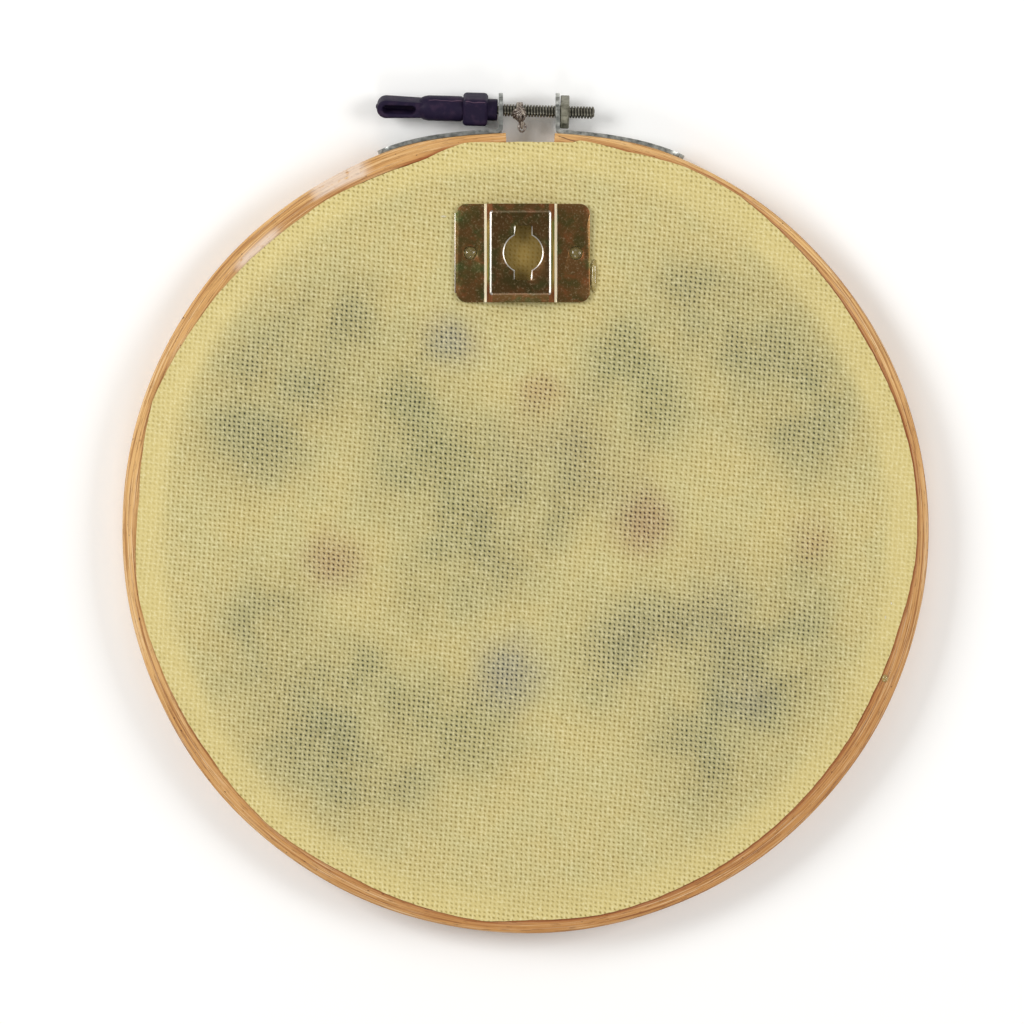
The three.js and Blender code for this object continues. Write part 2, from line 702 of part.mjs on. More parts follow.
function threadKnot() {
  const loopRadius = SCREW_CLEAR_RADIUS + KNOT_CORD;
  const loop = new THREE.TorusGeometry(loopRadius, KNOT_CORD, THREAD_SIDES, HOLE_SIDES);
  loop.rotateY(Math.PI / 2);
  const knot = new THREE.SphereGeometry(KNOT_RADIUS, 2 * THREAD_SIDES, THREAD_SIDES);
  knot.translate(0, -KNOT_DROP, KNOT_RISE);
  const from = new THREE.Vector3(0, -KNOT_DROP, KNOT_RISE);
  const to = new THREE.Vector3(TAIL_END.x, TAIL_END.y, TAIL_END.z);
  const length = from.distanceTo(to);
  const tail = new THREE.CapsuleGeometry(TAIL_RADIUS, length, SMALL_CORNER_STEPS, THREAD_SIDES);
  const lie = new THREE.Quaternion();
  lie.setFromUnitVectors(new THREE.Vector3(0, 1, 0), to.clone().sub(from).normalize());
  const middle = from.clone().lerp(to, 0.5);
  tail.applyMatrix4(new THREE.Matrix4().compose(middle, lie, new THREE.Vector3(1, 1, 1)));
  const screw = rodAlongX(SCREW_CLEAR_RADIUS, -KNOT_RADIUS - 1, KNOT_RADIUS + 1, HOLE_SIDES);
  const thread = solidFrom(loop).add(solidFrom(knot)).add(solidFrom(tail));
  return geometryFrom(thread.subtract(solidFrom(screw)));
}

function piece(name, geometry, color, roughness, metalness) {
  const mesh = new THREE.Mesh(geometry, new THREE.MeshStandardMaterial({ color, roughness, metalness }));
  mesh.name = name;
  return mesh;
}

function place(object, x, y, z) {
  object.position.set(x, y, z);
  return object;
}

const part = new THREE.Group();
const hoop = place(new THREE.Group(), 0, HOOP_CENTRE_Y, 0);
part.add(hoop);

// Everything on the screw's axis, with X along it
const clamp = place(new THREE.Group(), 0, SCREW_Y, SCREW_Z);
clamp.rotation.z = -radians(SCREW_LEAN);
clamp.updateMatrix();
hoop.add(clamp);

hoop.add(piece("outer_hoop", outerHoop(), 0xcca069, 0.6, 0));
hoop.add(piece("inner_hoop", innerHoop(), 0xd2a972, 0.65, 0));
hoop.add(piece("front_cloth", frontCloth(), 0xe8e0cc, 0.9, 0));
hoop.add(piece("back_cloth", backCloth(), 0xc8bc84, 0.8, 0));

const plate = place(new THREE.Group(), PLATE_X, PLATE_Y, PLATE_Z);
hoop.add(plate);
plate.add(piece("hanger_plate", hangerPlate(), 0x5f4a2e, 0.3, 1));
plate.add(place(piece("glue_rivet_left", glueRivet(), 0xd8d2bc, 0.2, 0), -RIVET_X, 0, 0));
plate.add(place(piece("glue_rivet_right", glueRivet(), 0xd8d2bc, 0.2, 0), RIVET_X, 0, 0));
const beadX = PLATE_WIDTH / 2 + FIT_GAP + BEAD_WIDTH / 2;
plate.add(place(piece("glue_bead", glueBead(), 0xd8d2bc, 0.2, 0), beadX, BEAD_Y, 0));

hoop.add(piece("strap_left", strap(EAR_LEFT_X, STRAP_LEFT_END), 0x918a7c, 0.35, 1));
hoop.add(piece("strap_right", strap(EAR_RIGHT_X, STRAP_RIGHT_END), 0x918a7c, 0.35, 1));

clamp.add(piece("screw_rod", screwRod(), 0x5c5b50, 0.4, 1));
const nut = piece("clamp_nut", clampNut(), 0x68675a, 0.4, 1);
nut.rotation.x = radians(NUT_TURN);
clamp.add(nut);
const handle = piece("screw_handle", screwHandle(), 0x302c39, 0.45, 0);
handle.rotation.x = radians(HANDLE_TURN);
clamp.add(handle);
clamp.add(place(piece("thread_knot", threadKnot(), 0x6d5a48, 0.5, 0.3), KNOT_X, 0, 0));

export default part;
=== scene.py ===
"""Hoop embroidery art lying face down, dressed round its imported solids.

Sizes are in millimetres in the hoop's own frame, whose axis is the hoop's, and
become metres in the row frame when a mesh is made.
"""

import logging
import math
import random
from dataclasses import dataclass, field
from enum import Enum
from typing import Any, Callable, Sequence, Union

import bpy
import numpy as np
from mathutils import Matrix, Vector


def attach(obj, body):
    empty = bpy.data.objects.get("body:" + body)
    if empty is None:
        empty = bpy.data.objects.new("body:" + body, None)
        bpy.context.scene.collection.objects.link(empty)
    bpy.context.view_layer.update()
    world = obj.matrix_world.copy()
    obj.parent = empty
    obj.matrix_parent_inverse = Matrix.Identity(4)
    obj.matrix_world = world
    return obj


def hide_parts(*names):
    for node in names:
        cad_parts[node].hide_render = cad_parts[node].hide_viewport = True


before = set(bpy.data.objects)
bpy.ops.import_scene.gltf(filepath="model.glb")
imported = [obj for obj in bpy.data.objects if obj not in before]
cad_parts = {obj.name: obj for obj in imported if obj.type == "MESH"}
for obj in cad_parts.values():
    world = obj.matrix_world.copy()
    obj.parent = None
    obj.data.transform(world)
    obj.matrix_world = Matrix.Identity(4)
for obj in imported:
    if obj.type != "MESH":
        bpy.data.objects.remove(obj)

LOG = logging.getLogger("hoop")
MM = 0.001
HOOP_Y = -4.4
GRAIN_RADIUS = 99.0
DOUBLES = 2e-6
SHARP = math.radians(50)
TAU = 2 * math.pi
ALONG_X = (0, math.pi / 2, 0)
UNMOVED = Matrix.Identity(4)

Colour = tuple[float, float, float, float]
Plan = tuple[float, float]
Point = tuple[float, float, float]
Piece = bpy.types.Object
Material = bpy.types.Material


class Body(Enum):
    """The bodies that pieces ride on."""

    HOOP = "hoop"
    SCREW = "screw"
    NUT = "nut"


class Slot(Enum):
    """The record's material slots."""

    HOOP_WOOD = "hoop_wood"
    GROUND = "ground_cloth"
    BACKING = "backing_cloth"
    ZINC = "yellow_zinc"
    GLUE = "clear_glue"
    STRAP = "strap_steel"
    SCREW = "screw_steel"
    PLASTIC = "handle_plastic"
    THREAD = "metallic_thread"


def linear(level: int) -> float:
    """A display level from 0 to 255, without the display's curve."""
    share = level / 255
    return share / 12.92 if share <= 0.04045 else ((share + 0.055) / 1.055) ** 2.4


def tint(red: int, green: int, blue: int) -> Colour:
    """Linear colour of a display colour given from 0 to 255."""
    return (linear(red), linear(green), linear(blue), 1.0)


def smoothstep(value: Any, low: float, high: float) -> Any:
    """Eased step from 0 at low to 1 at high, for a number or an array."""
    share = np.clip((value - low) / (high - low), 0.0, 1.0)
    return share * share * (3 - 2 * share)


def between(value: Any, rise: Plan, fall: Plan) -> Any:
    """1 from a rise to a fall and 0 beyond, each eased over its own span."""
    return smoothstep(value, *rise) * (1 - smoothstep(value, *fall))


class Socket:
    """A value in a material, on which arithmetic adds Math nodes."""

    def __init__(self, shader: "Shader", socket: bpy.types.NodeSocket) -> None:
        """Keep the material and the socket."""
        self.shader = shader
        self.socket = socket

    def __add__(self, other: "Value") -> "Socket":
        """Sum."""
        return self.shader.math("ADD", self, other)

    def __sub__(self, other: "Value") -> "Socket":
        """Difference."""
        return self.shader.math("SUBTRACT", self, other)

    def __rsub__(self, other: "Value") -> "Socket":
        """Difference from a number."""
        return self.shader.math("SUBTRACT", other, self)

    def __mul__(self, other: "Value") -> "Socket":
        """Product."""
        return self.shader.math("MULTIPLY", self, other)

    def __truediv__(self, other: "Value") -> "Socket":
        """Quotient."""
        return self.shader.math("DIVIDE", self, other)

    __radd__ = __add__
    __rmul__ = __mul__


Value = Union[Socket, float, Sequence[float]]


class Shader:
    """A material under construction, with its Principled surface."""

    def __init__(self, name: str) -> None:
        """Start a material.

        Args:
            name: the material's name.
        """
        self.material = bpy.data.materials.new(name)
        self.material.use_nodes = True
        self.tree = self.material.node_tree
        self.surface = self.tree.nodes["Principled BSDF"]

    def feed(self, socket: bpy.types.NodeSocket, value: Value) -> None:
        """Link a socket to a value, or set it.

        Args:
            socket: an input.
            value: a link or a plain value.
        """
        if isinstance(value, Socket):
            self.tree.links.new(value.socket, socket)
        else:
            socket.default_value = value

    def node(self, kind: str, settings: dict[str, Any], inputs: dict[Any, Value]) -> bpy.types.Node:
        """Add any node.

        Args:
            kind: the node's type.
            settings: its options, which are set first.
            inputs: values or links by socket name or number.
        Returns:
            The node.
        """
        node = self.tree.nodes.new(kind)
        for name, setting in settings.items():
            setattr(node, name, setting)
        for key, value in inputs.items():
            self.feed(node.inputs[key], value)
        return node

    def out(
        self, kind: str, settings: dict[str, Any], inputs: dict[Any, Value], output: Any = 0
    ) -> Socket:
        """One output of a new node: its first, unless another is asked for."""
        return Socket(self, self.node(kind, settings, inputs).outputs[output])

    def math(self, operation: str, *values: Value) -> Socket:
        """Math node of one, two or three values."""
        return self.out("ShaderNodeMath", {"operation": operation}, dict(enumerate(values)))

    def vector(self, operation: str, *vectors: Value) -> Socket:
        """Vector Math node of two or three vectors."""
        return self.out("ShaderNodeVectorMath", {"operation": operation}, dict(enumerate(vectors)))

    def mix(self, factor: Value, first: Value, second: Value, blend: str = "MIX") -> Socket:
        """Mix of two colours."""
        settings = {"data_type": "RGBA", "blend_type": blend, "clamp_factor": True}
        return self.out("ShaderNodeMix", settings, {0: factor, 6: first, 7: second}, 2)

    def layers(self, colour: Value, *coats: tuple[Value, Value]) -> Value:
        """Colour under a row of coats.

        Args:
            colour: what lies beneath.
            coats: the share that each covers, and its colour.
        Returns:
            The colour on top.
        """
        for share, coat in coats:
            colour = self.mix(share, colour, coat)
        return colour

    def split(self, vector: Socket) -> list[Socket]:
        """The three values of a vector."""
        node = self.node("ShaderNodeSeparateXYZ", {}, {0: vector})
        return [Socket(self, output) for output in node.outputs]

    def place(self) -> Socket:
        """Object coordinates in millimetres, from the hoop's axis."""
        own = self.out("ShaderNodeTexCoord", {}, {}, "Object")
        return self.vector("MULTIPLY_ADD", own, (1 / MM,) * 3, (0, -HOOP_Y, 0))

    def round_the_hoop(self) -> tuple[Socket, Socket, Socket]:
        """Where a point lies round the hoop.

        Returns:
            Its way along the hoop from the split, radius and height, in millimetres.
        """
        x, y, z = self.split(self.place())
        angle = self.math("ARCTAN2", x, 0 - y)
        return angle * GRAIN_RADIUS, self.math("SQRT", x * x + y * y), z

    def noise(
        self, vector: Value, scale: float, detail: float = 2, roughness: float = 0.5
    ) -> Socket:
        """Noise value from 0 to 1."""
        inputs = {"Vector": vector, "Scale": scale, "Detail": detail, "Roughness": roughness}
        return self.out("ShaderNodeTexNoise", {}, inputs)

    def drawn_out(
        self, ways: Sequence[Socket], scales: Sequence[float], detail: float, roughness: float = 0.5
    ) -> Socket:
        """Noise with a scale of its own along each way.

        Args:
            ways: three values that place a point.
            scales: the noise's scale along each.
            detail: how many finer layers it has.
            roughness: how strong they are.
        Returns:
            The noise, from 0 to 1.
        """
        scaled = {number: way * scale for number, (way, scale) in enumerate(zip(ways, scales))}
        return self.noise(self.out("ShaderNodeCombineXYZ", {}, scaled), 1.0, detail, roughness)

    def step(self, value: Value, low: float, high: float) -> Socket:
        """Eased step from 0 at low to 1 at high."""
        settings = {"interpolation_type": "SMOOTHSTEP"}
        return self.out("ShaderNodeMapRange", settings, {0: value, 1: low, 2: high})

    def attribute(self, name: str, output: str = "Fac") -> Socket:
        """The piece's own attribute."""
        return self.out("ShaderNodeAttribute", {"attribute_name": name}, {}, output)

    def bump(self, height: Value, distance: float, strength: float = 1.0) -> Socket:
        """Normal that leans with a height given from 0 to 1, over a distance in metres."""
        inputs = {"Height": height, "Distance": distance, "Strength": strength}
        return self.out("ShaderNodeBump", {}, inputs)

    def finish(self, **inputs: Value) -> Material:
        """Feed the surface's sockets.

        Args:
            inputs: values by socket name, with underscores for spaces.
        Returns:
            The material.
        """
        for name, value in inputs.items():
            self.feed(self.surface.inputs[name.replace("_", " ")], value)
        return self.material


@dataclass(frozen=True)
class RingWood:
    """Pale bent wood with its grain round the ring, dried glue by the cloth, and painted shade
    towards the lower right.
    """

    name: str = "ring_wood"
    light: Colour = tint(230, 187, 122)
    mid: Colour = tint(212, 160, 94)
    deep: Colour = tint(178, 120, 58)
    dark: Colour = tint(132, 78, 34)
    speck: Colour = tint(74, 42, 22)
    # glue-soaked wood by the cloth's edge, which on the right and lower side also stands for painted
    # shade beside the edge
    soaked: Colour = tint(152, 80, 28)
    film: Colour = tint(234, 214, 196)
    dry: Colour = tint(242, 220, 182)
    crack: tuple[float, float, float, float] = (8.2, 99.3, -0.31, 5.0)

    def cracked(self, shader: Shader, x: Socket, y: Socket, pores: Socket) -> Socket:
        """Where the crack at the ring's right end lies.

        Args:
            shader: the material.
            x: way across the hoop, in millimetres.
            y: way up it.
            pores: noise that makes the crack waver.
        Returns:
            1 in the crack and 0 away from it.
        """
        start, level, slope, length = self.crack
        run = x - start
        aside = shader.math("ABSOLUTE", y - level - slope * run + pores * 0.5 - 0.25)
        ends = shader.step(run, 0.0, 0.5) * (1 - shader.step(run, length - 0.8, length))
        return (1 - shader.step(aside, 0.05, 0.2)) * ends

    def make(self) -> Material:
        """Grain round the ring, knots, the crack and what the glue left, with painted shade towards
        the lower right.

        Returns:
            The material.
        """
        shader = Shader(self.name)
        ways = shader.round_the_hoop()
        x, y, _ = shader.split(shader.place())
        broad = shader.drawn_out(ways, (0.018, 0.35, 0.25), 3)
        lines = shader.drawn_out(ways, (0.022, 1.7, 1.3), 4, 0.64)
        pores = shader.drawn_out(ways, (0.3, 4.0, 3.0), 2)
        knots = shader.drawn_out(ways, (0.8, 1.6, 1.6), 0)
        grain = shader.drawn_out(ways, (0.05, 5.4, 4.2), 3, 0.62)
        patches = shader.drawn_out(ways, (0.5, 0.9, 1.0), 3)
        streaks = shader.step(pores, 0.6, 0.7)
        # painted shade: the wood, its grain lines and its streaks darker towards the lower right, as
        # on the side away from the light
        lower_right_shade = shader.step(0.3 * x - 0.7 * y + 60 * broad, -20.0, 140.0)
        film = shader.attribute("glue_film") * shader.step(patches, 0.22, 0.44)
        colour = shader.layers(
            shader.mix(shader.step(broad, 0.3, 0.7), self.mid, self.light),
            (lower_right_shade * 0.92, self.deep),
            (shader.step(y, 78.0, 98.0) * 0.25, self.deep),
            (shader.step(lines, 0.46, 0.58) * 0.6, self.deep),
            (shader.step(lines, 0.53, 0.63) * (0.45 + 0.4 * lower_right_shade), self.dark),
            (streaks * (0.3 + 0.35 * lower_right_shade), self.dark),
            (shader.step(grain, 0.53, 0.64) * 0.46, self.dark),
            ((1 - shader.step(grain, 0.34, 0.46)) * 0.5, self.dry),
            (shader.step(knots, 0.81, 0.86) * 0.75, self.speck),
            (self.cracked(shader, x, y, pores) * 0.8, self.speck),
            # glue soak along the cloth's edge, partly painted shade beside it
            (shader.attribute("glue_soak_and_edge_shade") * (0.55 + 0.6 * lines), self.soaked),
            (film * 0.78, self.film),
        )
        return shader.finish(
            Base_Color=colour,
            Roughness=0.5 + 0.16 * lines - 0.24 * film,
            Normal=shader.bump(lines * 0.6 - streaks * 0.5 + film * 0.5, 0.00012),
        )


@dataclass(frozen=True)
class BondedCloth:
    """Thin yellow non-woven with rows of bonded dots, the stitching showing through."""

    name: str = "bonded_cloth"
    warm: Colour = tint(196, 179, 116)
    pale: Colour = tint(193, 181, 122)
    over_rim: Colour = tint(208, 190, 122)
    # pale fibres, also the colour of the painted highlights on the ridges between the dots
    pale_fibre_highlight: Colour = tint(244, 236, 190)
    dot: Colour = tint(132, 112, 52)
    deep_dot: Colour = tint(34, 38, 24)
    # glue stain under the plate, darkened further as painted shade and warm reflected light from the
    # plate's underside
    stain_and_shade: Colour = tint(141, 106, 4)
    pitch: float = 1.215
    lean: float = -0.052
    fall: float = 0.128

    def from_dot(self, shader: Shader, x: Socket, y: Socket) -> Socket:
        """Distance from the nearest of the dots, whose rows and columns lie a little askew.

        Args:
            shader: the material.
            x: way across the columns, in millimetres.
            y: way along them.
        Returns:
            The distance, in millimetres.
        """
        across = (shader.math("FRACT", (x + self.lean * y) / self.pitch) - 0.5) * self.pitch
        along = (shader.math("FRACT", (y + self.fall * x) / self.pitch) - 0.5) * self.pitch
        slant, rise = across - along, across + along
        return shader.math("SQRT", 0.3 * slant * slant + 0.7 * rise * rise)

    def make(self) -> Material:
        """Dots and fibres over what shows through, with painted highlights on the ridges between the
        dots.

        Returns:
            The material.
        """
        shader = Shader(self.name)
        place = shader.place()
        ways = x, y, _ = shader.split(place)
        wander = shader.noise(place, 0.05, 2) * 1.3
        jitter = shader.noise(place, 0.9, 1) * 0.5
        uneven = 0.76 + 0.5 * shader.noise(shader.vector("ADD", place, (3.0, 29.0, 0.0)), 0.85, 1)
        distance = self.from_dot(shader, x + wander + jitter, y - wander + jitter) * uneven
        dots = 1 - shader.step(distance, 0.05, 0.41)
        web = shader.step(distance, 0.34, 0.6)
        clouds = shader.noise(place, 0.09, 3)
        fibres = shader.drawn_out(ways, (2.6, 0.7, 1.0), 3, 0.7)
        cross = shader.drawn_out(ways, (0.8, 2.9, 1.0), 3, 0.7)
        fleck = shader.noise(place, 1.5, 2, 0.6)
        blots = shader.noise(shader.vector("ADD", place, (17.0, 5.0, 0.0)), 0.07, 1, 0.5)
        depth = shader.attribute("show_depth") * (0.48 + 0.7 * shader.step(blots, 0.26, 0.7))
        cloudy = 0.72 + 0.5 * shader.step(clouds, 0.35, 0.65)
        rim, soaked = (
            shader.math("MINIMUM", shader.attribute(name) * cloudy, 1.0)
            for name in ("over_rim", "soaked")
        )
        behind = shader.attribute("show_colour", "Color")
        dark_dot = shader.mix(0.4, self.deep_dot, shader.mix(1.0, behind, behind, "MULTIPLY"))
        hole = shader.mix(shader.step(depth, 0.05, 0.75), self.dot, dark_dot)
        # pale fibres, brightest on the web between the dots as painted highlight on the ridges
        bright = 0.2 + 0.8 * shader.step(fibres * 0.5 + cross * 0.5, 0.44, 0.65)
        bright = bright * (0.3 + 0.7 * web)
        strength = (0.83 + 0.34 * depth) * (1 - 0.76 * soaked) * (0.45 + 1.1 * fleck)
        strength = strength * (1 - 0.4 * shader.step(fibres, 0.52, 0.64))
        colour = shader.layers(
            shader.mix(shader.step(clouds, 0.34, 0.66), self.warm, self.pale),
            (rim, self.over_rim),
            (depth * (0.4 + 0.6 * fleck), behind),
            (bright * 0.5, self.pale_fibre_highlight),
            (dots * strength, hole),
            # glue stain under the plate, with painted shade and reflected light from its underside,
            # seen through the keyhole
            (shader.attribute("glue_stain_and_shade") * 0.76, self.stain_and_shade),
        )
        relief = (1 - dots) * 0.7 + (fibres + cross) * 0.35
        return shader.finish(
            Base_Color=colour,
            Roughness=0.66 - 0.1 * dots,
            Normal=shader.bump(relief, 0.00011, 0.8),
            Sheen_Weight=0.15,
            Specular_IOR_Level=0.3,
        )


@dataclass(frozen=True)
class GroundCotton:
    """Plain woven cotton of the embroidery's ground."""

    name: str = "ground_cotton"
    colour: Colour = tint(233, 222, 196)
    shade: Colour = tint(204, 190, 160)
    pitch: float = 0.55

    def make(self) -> Material:
        """A plain weave with uneven threads.

        Returns:
            The material.
        """
        shader = Shader(self.name)
        place = shader.place()
        x, y, z = shader.split(place)
        slub = shader.noise(place, 0.5, 2) * 0.8
        warp = shader.math("SINE", (x + slub * 0.3) * (TAU / self.pitch))
        weft = shader.math("SINE", (y + z + slub * 0.3) * (TAU / self.pitch))
        weave = 0.5 + 0.5 * warp * weft
        tone = weave * 0.6 + shader.noise(place, 1.7, 3) * 0.4
        return shader.finish(
            Base_Color=shader.mix(tone, self.shade, self.colour),
            Roughness=0.88 - 0.05 * weave,
            Normal=shader.bump(tone, 0.00015),
            Sheen_Weight=0.2,
        )


@dataclass(frozen=True)
class StitchFloss:
    """Stranded cotton, in the colour that each stitch carries."""

    name: str = "stitch_floss"

    def make(self) -> Material:
        """Each stitch's own colour, with painted shade between its plies.

        Returns:
            The material.
        """
        shader = Shader(self.name)
        ply = shader.noise(shader.place(), 5.0, 2)
        own = shader.attribute("floss", "Color")
        # painted shade between the plies
        ply_shade = shader.mix(1.0, own, tint(190, 186, 184), "MULTIPLY")
        return shader.finish(
            Base_Color=shader.mix(shader.step(ply, 0.3, 0.7), ply_shade, own),
            Roughness=0.5 + 0.15 * ply,
            Normal=shader.bump(ply, 0.00006),
            Sheen_Weight=0.3,
        )


@dataclass(frozen=True)
class YellowZinc:
    """Iridescent zinc plating on pressed steel: brown, with green, rust and violet in it."""

    name: str = "yellow_zinc_plating"
    brown: Colour = tint(114, 82, 48)
    olive: Colour = tint(90, 80, 44)
    rust: Colour = tint(150, 92, 56)
    gold: Colour = tint(214, 190, 112)
    green: Colour = tint(128, 146, 76)
    verdigris: Colour = tint(76, 98, 56)
    deck: Colour = tint(66, 54, 32)
    scuff: Colour = tint(184, 164, 130)
    # bare steel where the plating wears at the crests and keyhole edges, also standing for their
    # painted highlights
    worn: Colour = tint(238, 234, 226)
    # painted highlight along the foot bends
    foot_highlight: Colour = tint(255, 244, 214)
    bridge: tuple[float, float] = (-1.125, 69.75)
    left_edge: float = -17.66

    def make(self) -> Material:
        """Patches of colour, with painted sheen on the walls, worn crests partly painted as
        highlights, and painted highlights along the burr and the foot bends.

        Returns:
            The material.
        """
        shader = Shader(self.name)
        place = shader.place()
        ways = x, y, z = shader.split(place)
        first = shader.noise(place, 0.22, 3)
        second = shader.noise(shader.vector("ADD", place, (31.0, 7.0, 3.0)), 0.3, 4, 0.6)
        third = shader.noise(shader.vector("ADD", place, (5.0, 41.0, 9.0)), 0.2, 3)
        fine = shader.noise(place, 1.9, 4, 0.65)
        bands = shader.drawn_out(ways, (0.1, 0.12, 1.1), 2)
        rolled = shader.drawn_out(ways, (9.0, 0.5, 9.0), 3)
        aside, far = (
            shader.math("ABSOLUTE", way - middle) for way, middle in zip((x, y), self.bridge)
        )
        upright = shader.step(aside, 7.0, 7.2)
        by_hole = 1 - shader.step(far, 6.4, 6.8)
        # iridescent colour of the walls, brighter and less metallic than the flanges as painted sheen
        # where the walls catch the side light
        wall_iridescence_and_sheen = shader.mix(shader.step(bands, 0.42, 0.62), self.gold, self.green)
        wall_iridescence_and_sheen = shader.mix(shader.step(far + 9 * first, 11.0, 15.0), wall_iridescence_and_sheen, self.rust)
        wall = shader.step(z, 12.5, 12.9) * (1 - shader.step(z, 14.9, 15.3)) * upright
        # worn plating on the crests and keyhole edges, partly painted highlight
        crest_wear_and_highlight = shader.step(z, 15.08, 15.2) * (1 - shader.step(z, 15.37, 15.395))
        crest_wear_and_highlight = crest_wear_and_highlight * (0.08 + 0.92 * shader.math("MAXIMUM", upright, by_hole))
        # painted highlight along the foot bends: near white and mostly non-metallic
        foot = shader.step(z, 12.503, 12.52) * shader.step(aside, 8.48, 8.58)
        # painted highlight along the burr at the plate's left edge
        burr = 1 - shader.step(x, self.left_edge, self.left_edge + 0.12)
        colour = shader.layers(
            shader.mix(shader.step(first, 0.38, 0.66), self.brown, self.olive),
            (shader.step(second, 0.48, 0.7) * 0.62, self.rust),
            (shader.step(third, 0.54, 0.68) * 0.55, self.verdigris),
            (shader.step(z, 15.3, 15.38) * 0.45, self.deck),
            (shader.step(fine, 0.53, 0.7) * 0.42, self.scuff),
            (wall * 0.85, wall_iridescence_and_sheen),
            (crest_wear_and_highlight * (0.35 + 0.5 * fine) + burr * 0.7, self.worn),
            (foot, self.foot_highlight),
        )
        return shader.finish(
            Base_Color=colour,
            Metallic=0.94 + 0.05 * first - 0.26 * wall - 0.66 * foot,
            Roughness=0.18 + 0.14 * rolled + 0.16 * fine,
            Normal=shader.bump(fine * 0.7 + rolled * 0.3, 0.00003),
        )


@dataclass(frozen=True)
class PlatedSteel:
    """Plain zinc plate on steel, brushed along the hoop and scuffed."""

    name: str = "plated_steel"
    bright: Colour = tint(188, 188, 182)
    dull: Colour = tint(132, 130, 122)
    # painted shade in the thread's grooves
    groove_shade: Colour = tint(30, 29, 24)
    roughness: float = 0.32

    def make(self) -> Material:
        """Rolling marks, scuffs and painted shade in the grooves.

        Returns:
            The material.
        """
        shader = Shader(self.name)
        place = shader.place()
        rolled = shader.drawn_out(shader.split(place), (0.5, 0.9, 3.0), 2)
        scuffs = shader.noise(place, 0.8, 3, 0.6)
        tone = rolled * 0.5 + scuffs * 0.5
        colour = shader.mix(shader.step(tone, 0.3, 0.7), self.dull, self.bright)
        # painted shade in the thread's grooves
        colour = shader.mix(shader.attribute("groove") * 0.85, colour, self.groove_shade)
        return shader.finish(
            Base_Color=colour,
            Metallic=0.97 - 0.12 * scuffs,
            Roughness=self.roughness + 0.22 * scuffs,
            Normal=shader.bump(tone, 0.00004),
        )


@dataclass(frozen=True)
class MouldedPlastic:
    """Dark purple moulded plastic."""

    name: str = "moulded_plastic"
    colour: Colour = tint(34, 26, 48)
    worn: Colour = tint(58, 42, 62)

    def make(self) -> Material:
        """Faint flow marks and a fine grain.

        Returns:
            The material.
        """
        shader = Shader(self.name)
        place = shader.place()
        flow = shader.noise(place, 0.5, 3)
        grain = shader.noise(place, 4.0, 3)
        return shader.finish(
            Base_Color=shader.mix(shader.step(flow, 0.45, 0.75) * 0.6, self.colour, self.worn),
            Roughness=0.38 + 0.16 * grain,
            Normal=shader.bump(grain * 0.4 + flow * 0.6, 0.00012),
            Specular_IOR_Level=0.1,
        )


@dataclass(frozen=True)
class MetallicThread:
    """Brown thread wound with bright metal film, in the colour that each strand carries."""

    name: str = "metallic_thread"

    def make(self) -> Material:
        """Each strand's own colour, with glints of film.

        Returns:
            The material.
        """
        shader = Shader(self.name)
        film = shader.noise(shader.place(), 4.5, 2)
        glint = shader.step(film, 0.46, 0.6)
        own = shader.attribute("floss", "Color")
        return shader.finish(
            Base_Color=shader.mix(glint * 0.6, own, tint(222, 214, 204)),
            Metallic=0.25 + 0.6 * glint,
            Roughness=0.5 - 0.2 * glint,
            Normal=shader.bump(film, 0.00008),
        )


@dataclass(frozen=True)
class ClearGlue:
    """Set clear glue."""

    name: str = "clear_glue"
    colour: Colour = tint(112, 96, 48)
    clouded: Colour = tint(158, 142, 86)

    def make(self) -> Material:
        """Clear, with clouds in it.

        Returns:
            The material.
        """
        shader = Shader(self.name)
        cloud = shader.noise(shader.place(), 0.8, 3)
        return shader.finish(
            Base_Color=shader.mix(shader.step(cloud, 0.5, 0.75), self.colour, self.clouded),
            Roughness=0.05 + 0.04 * cloud,
            Alpha=0.4 + 0.25 * cloud,
            Coat_Weight=1.0,
        )


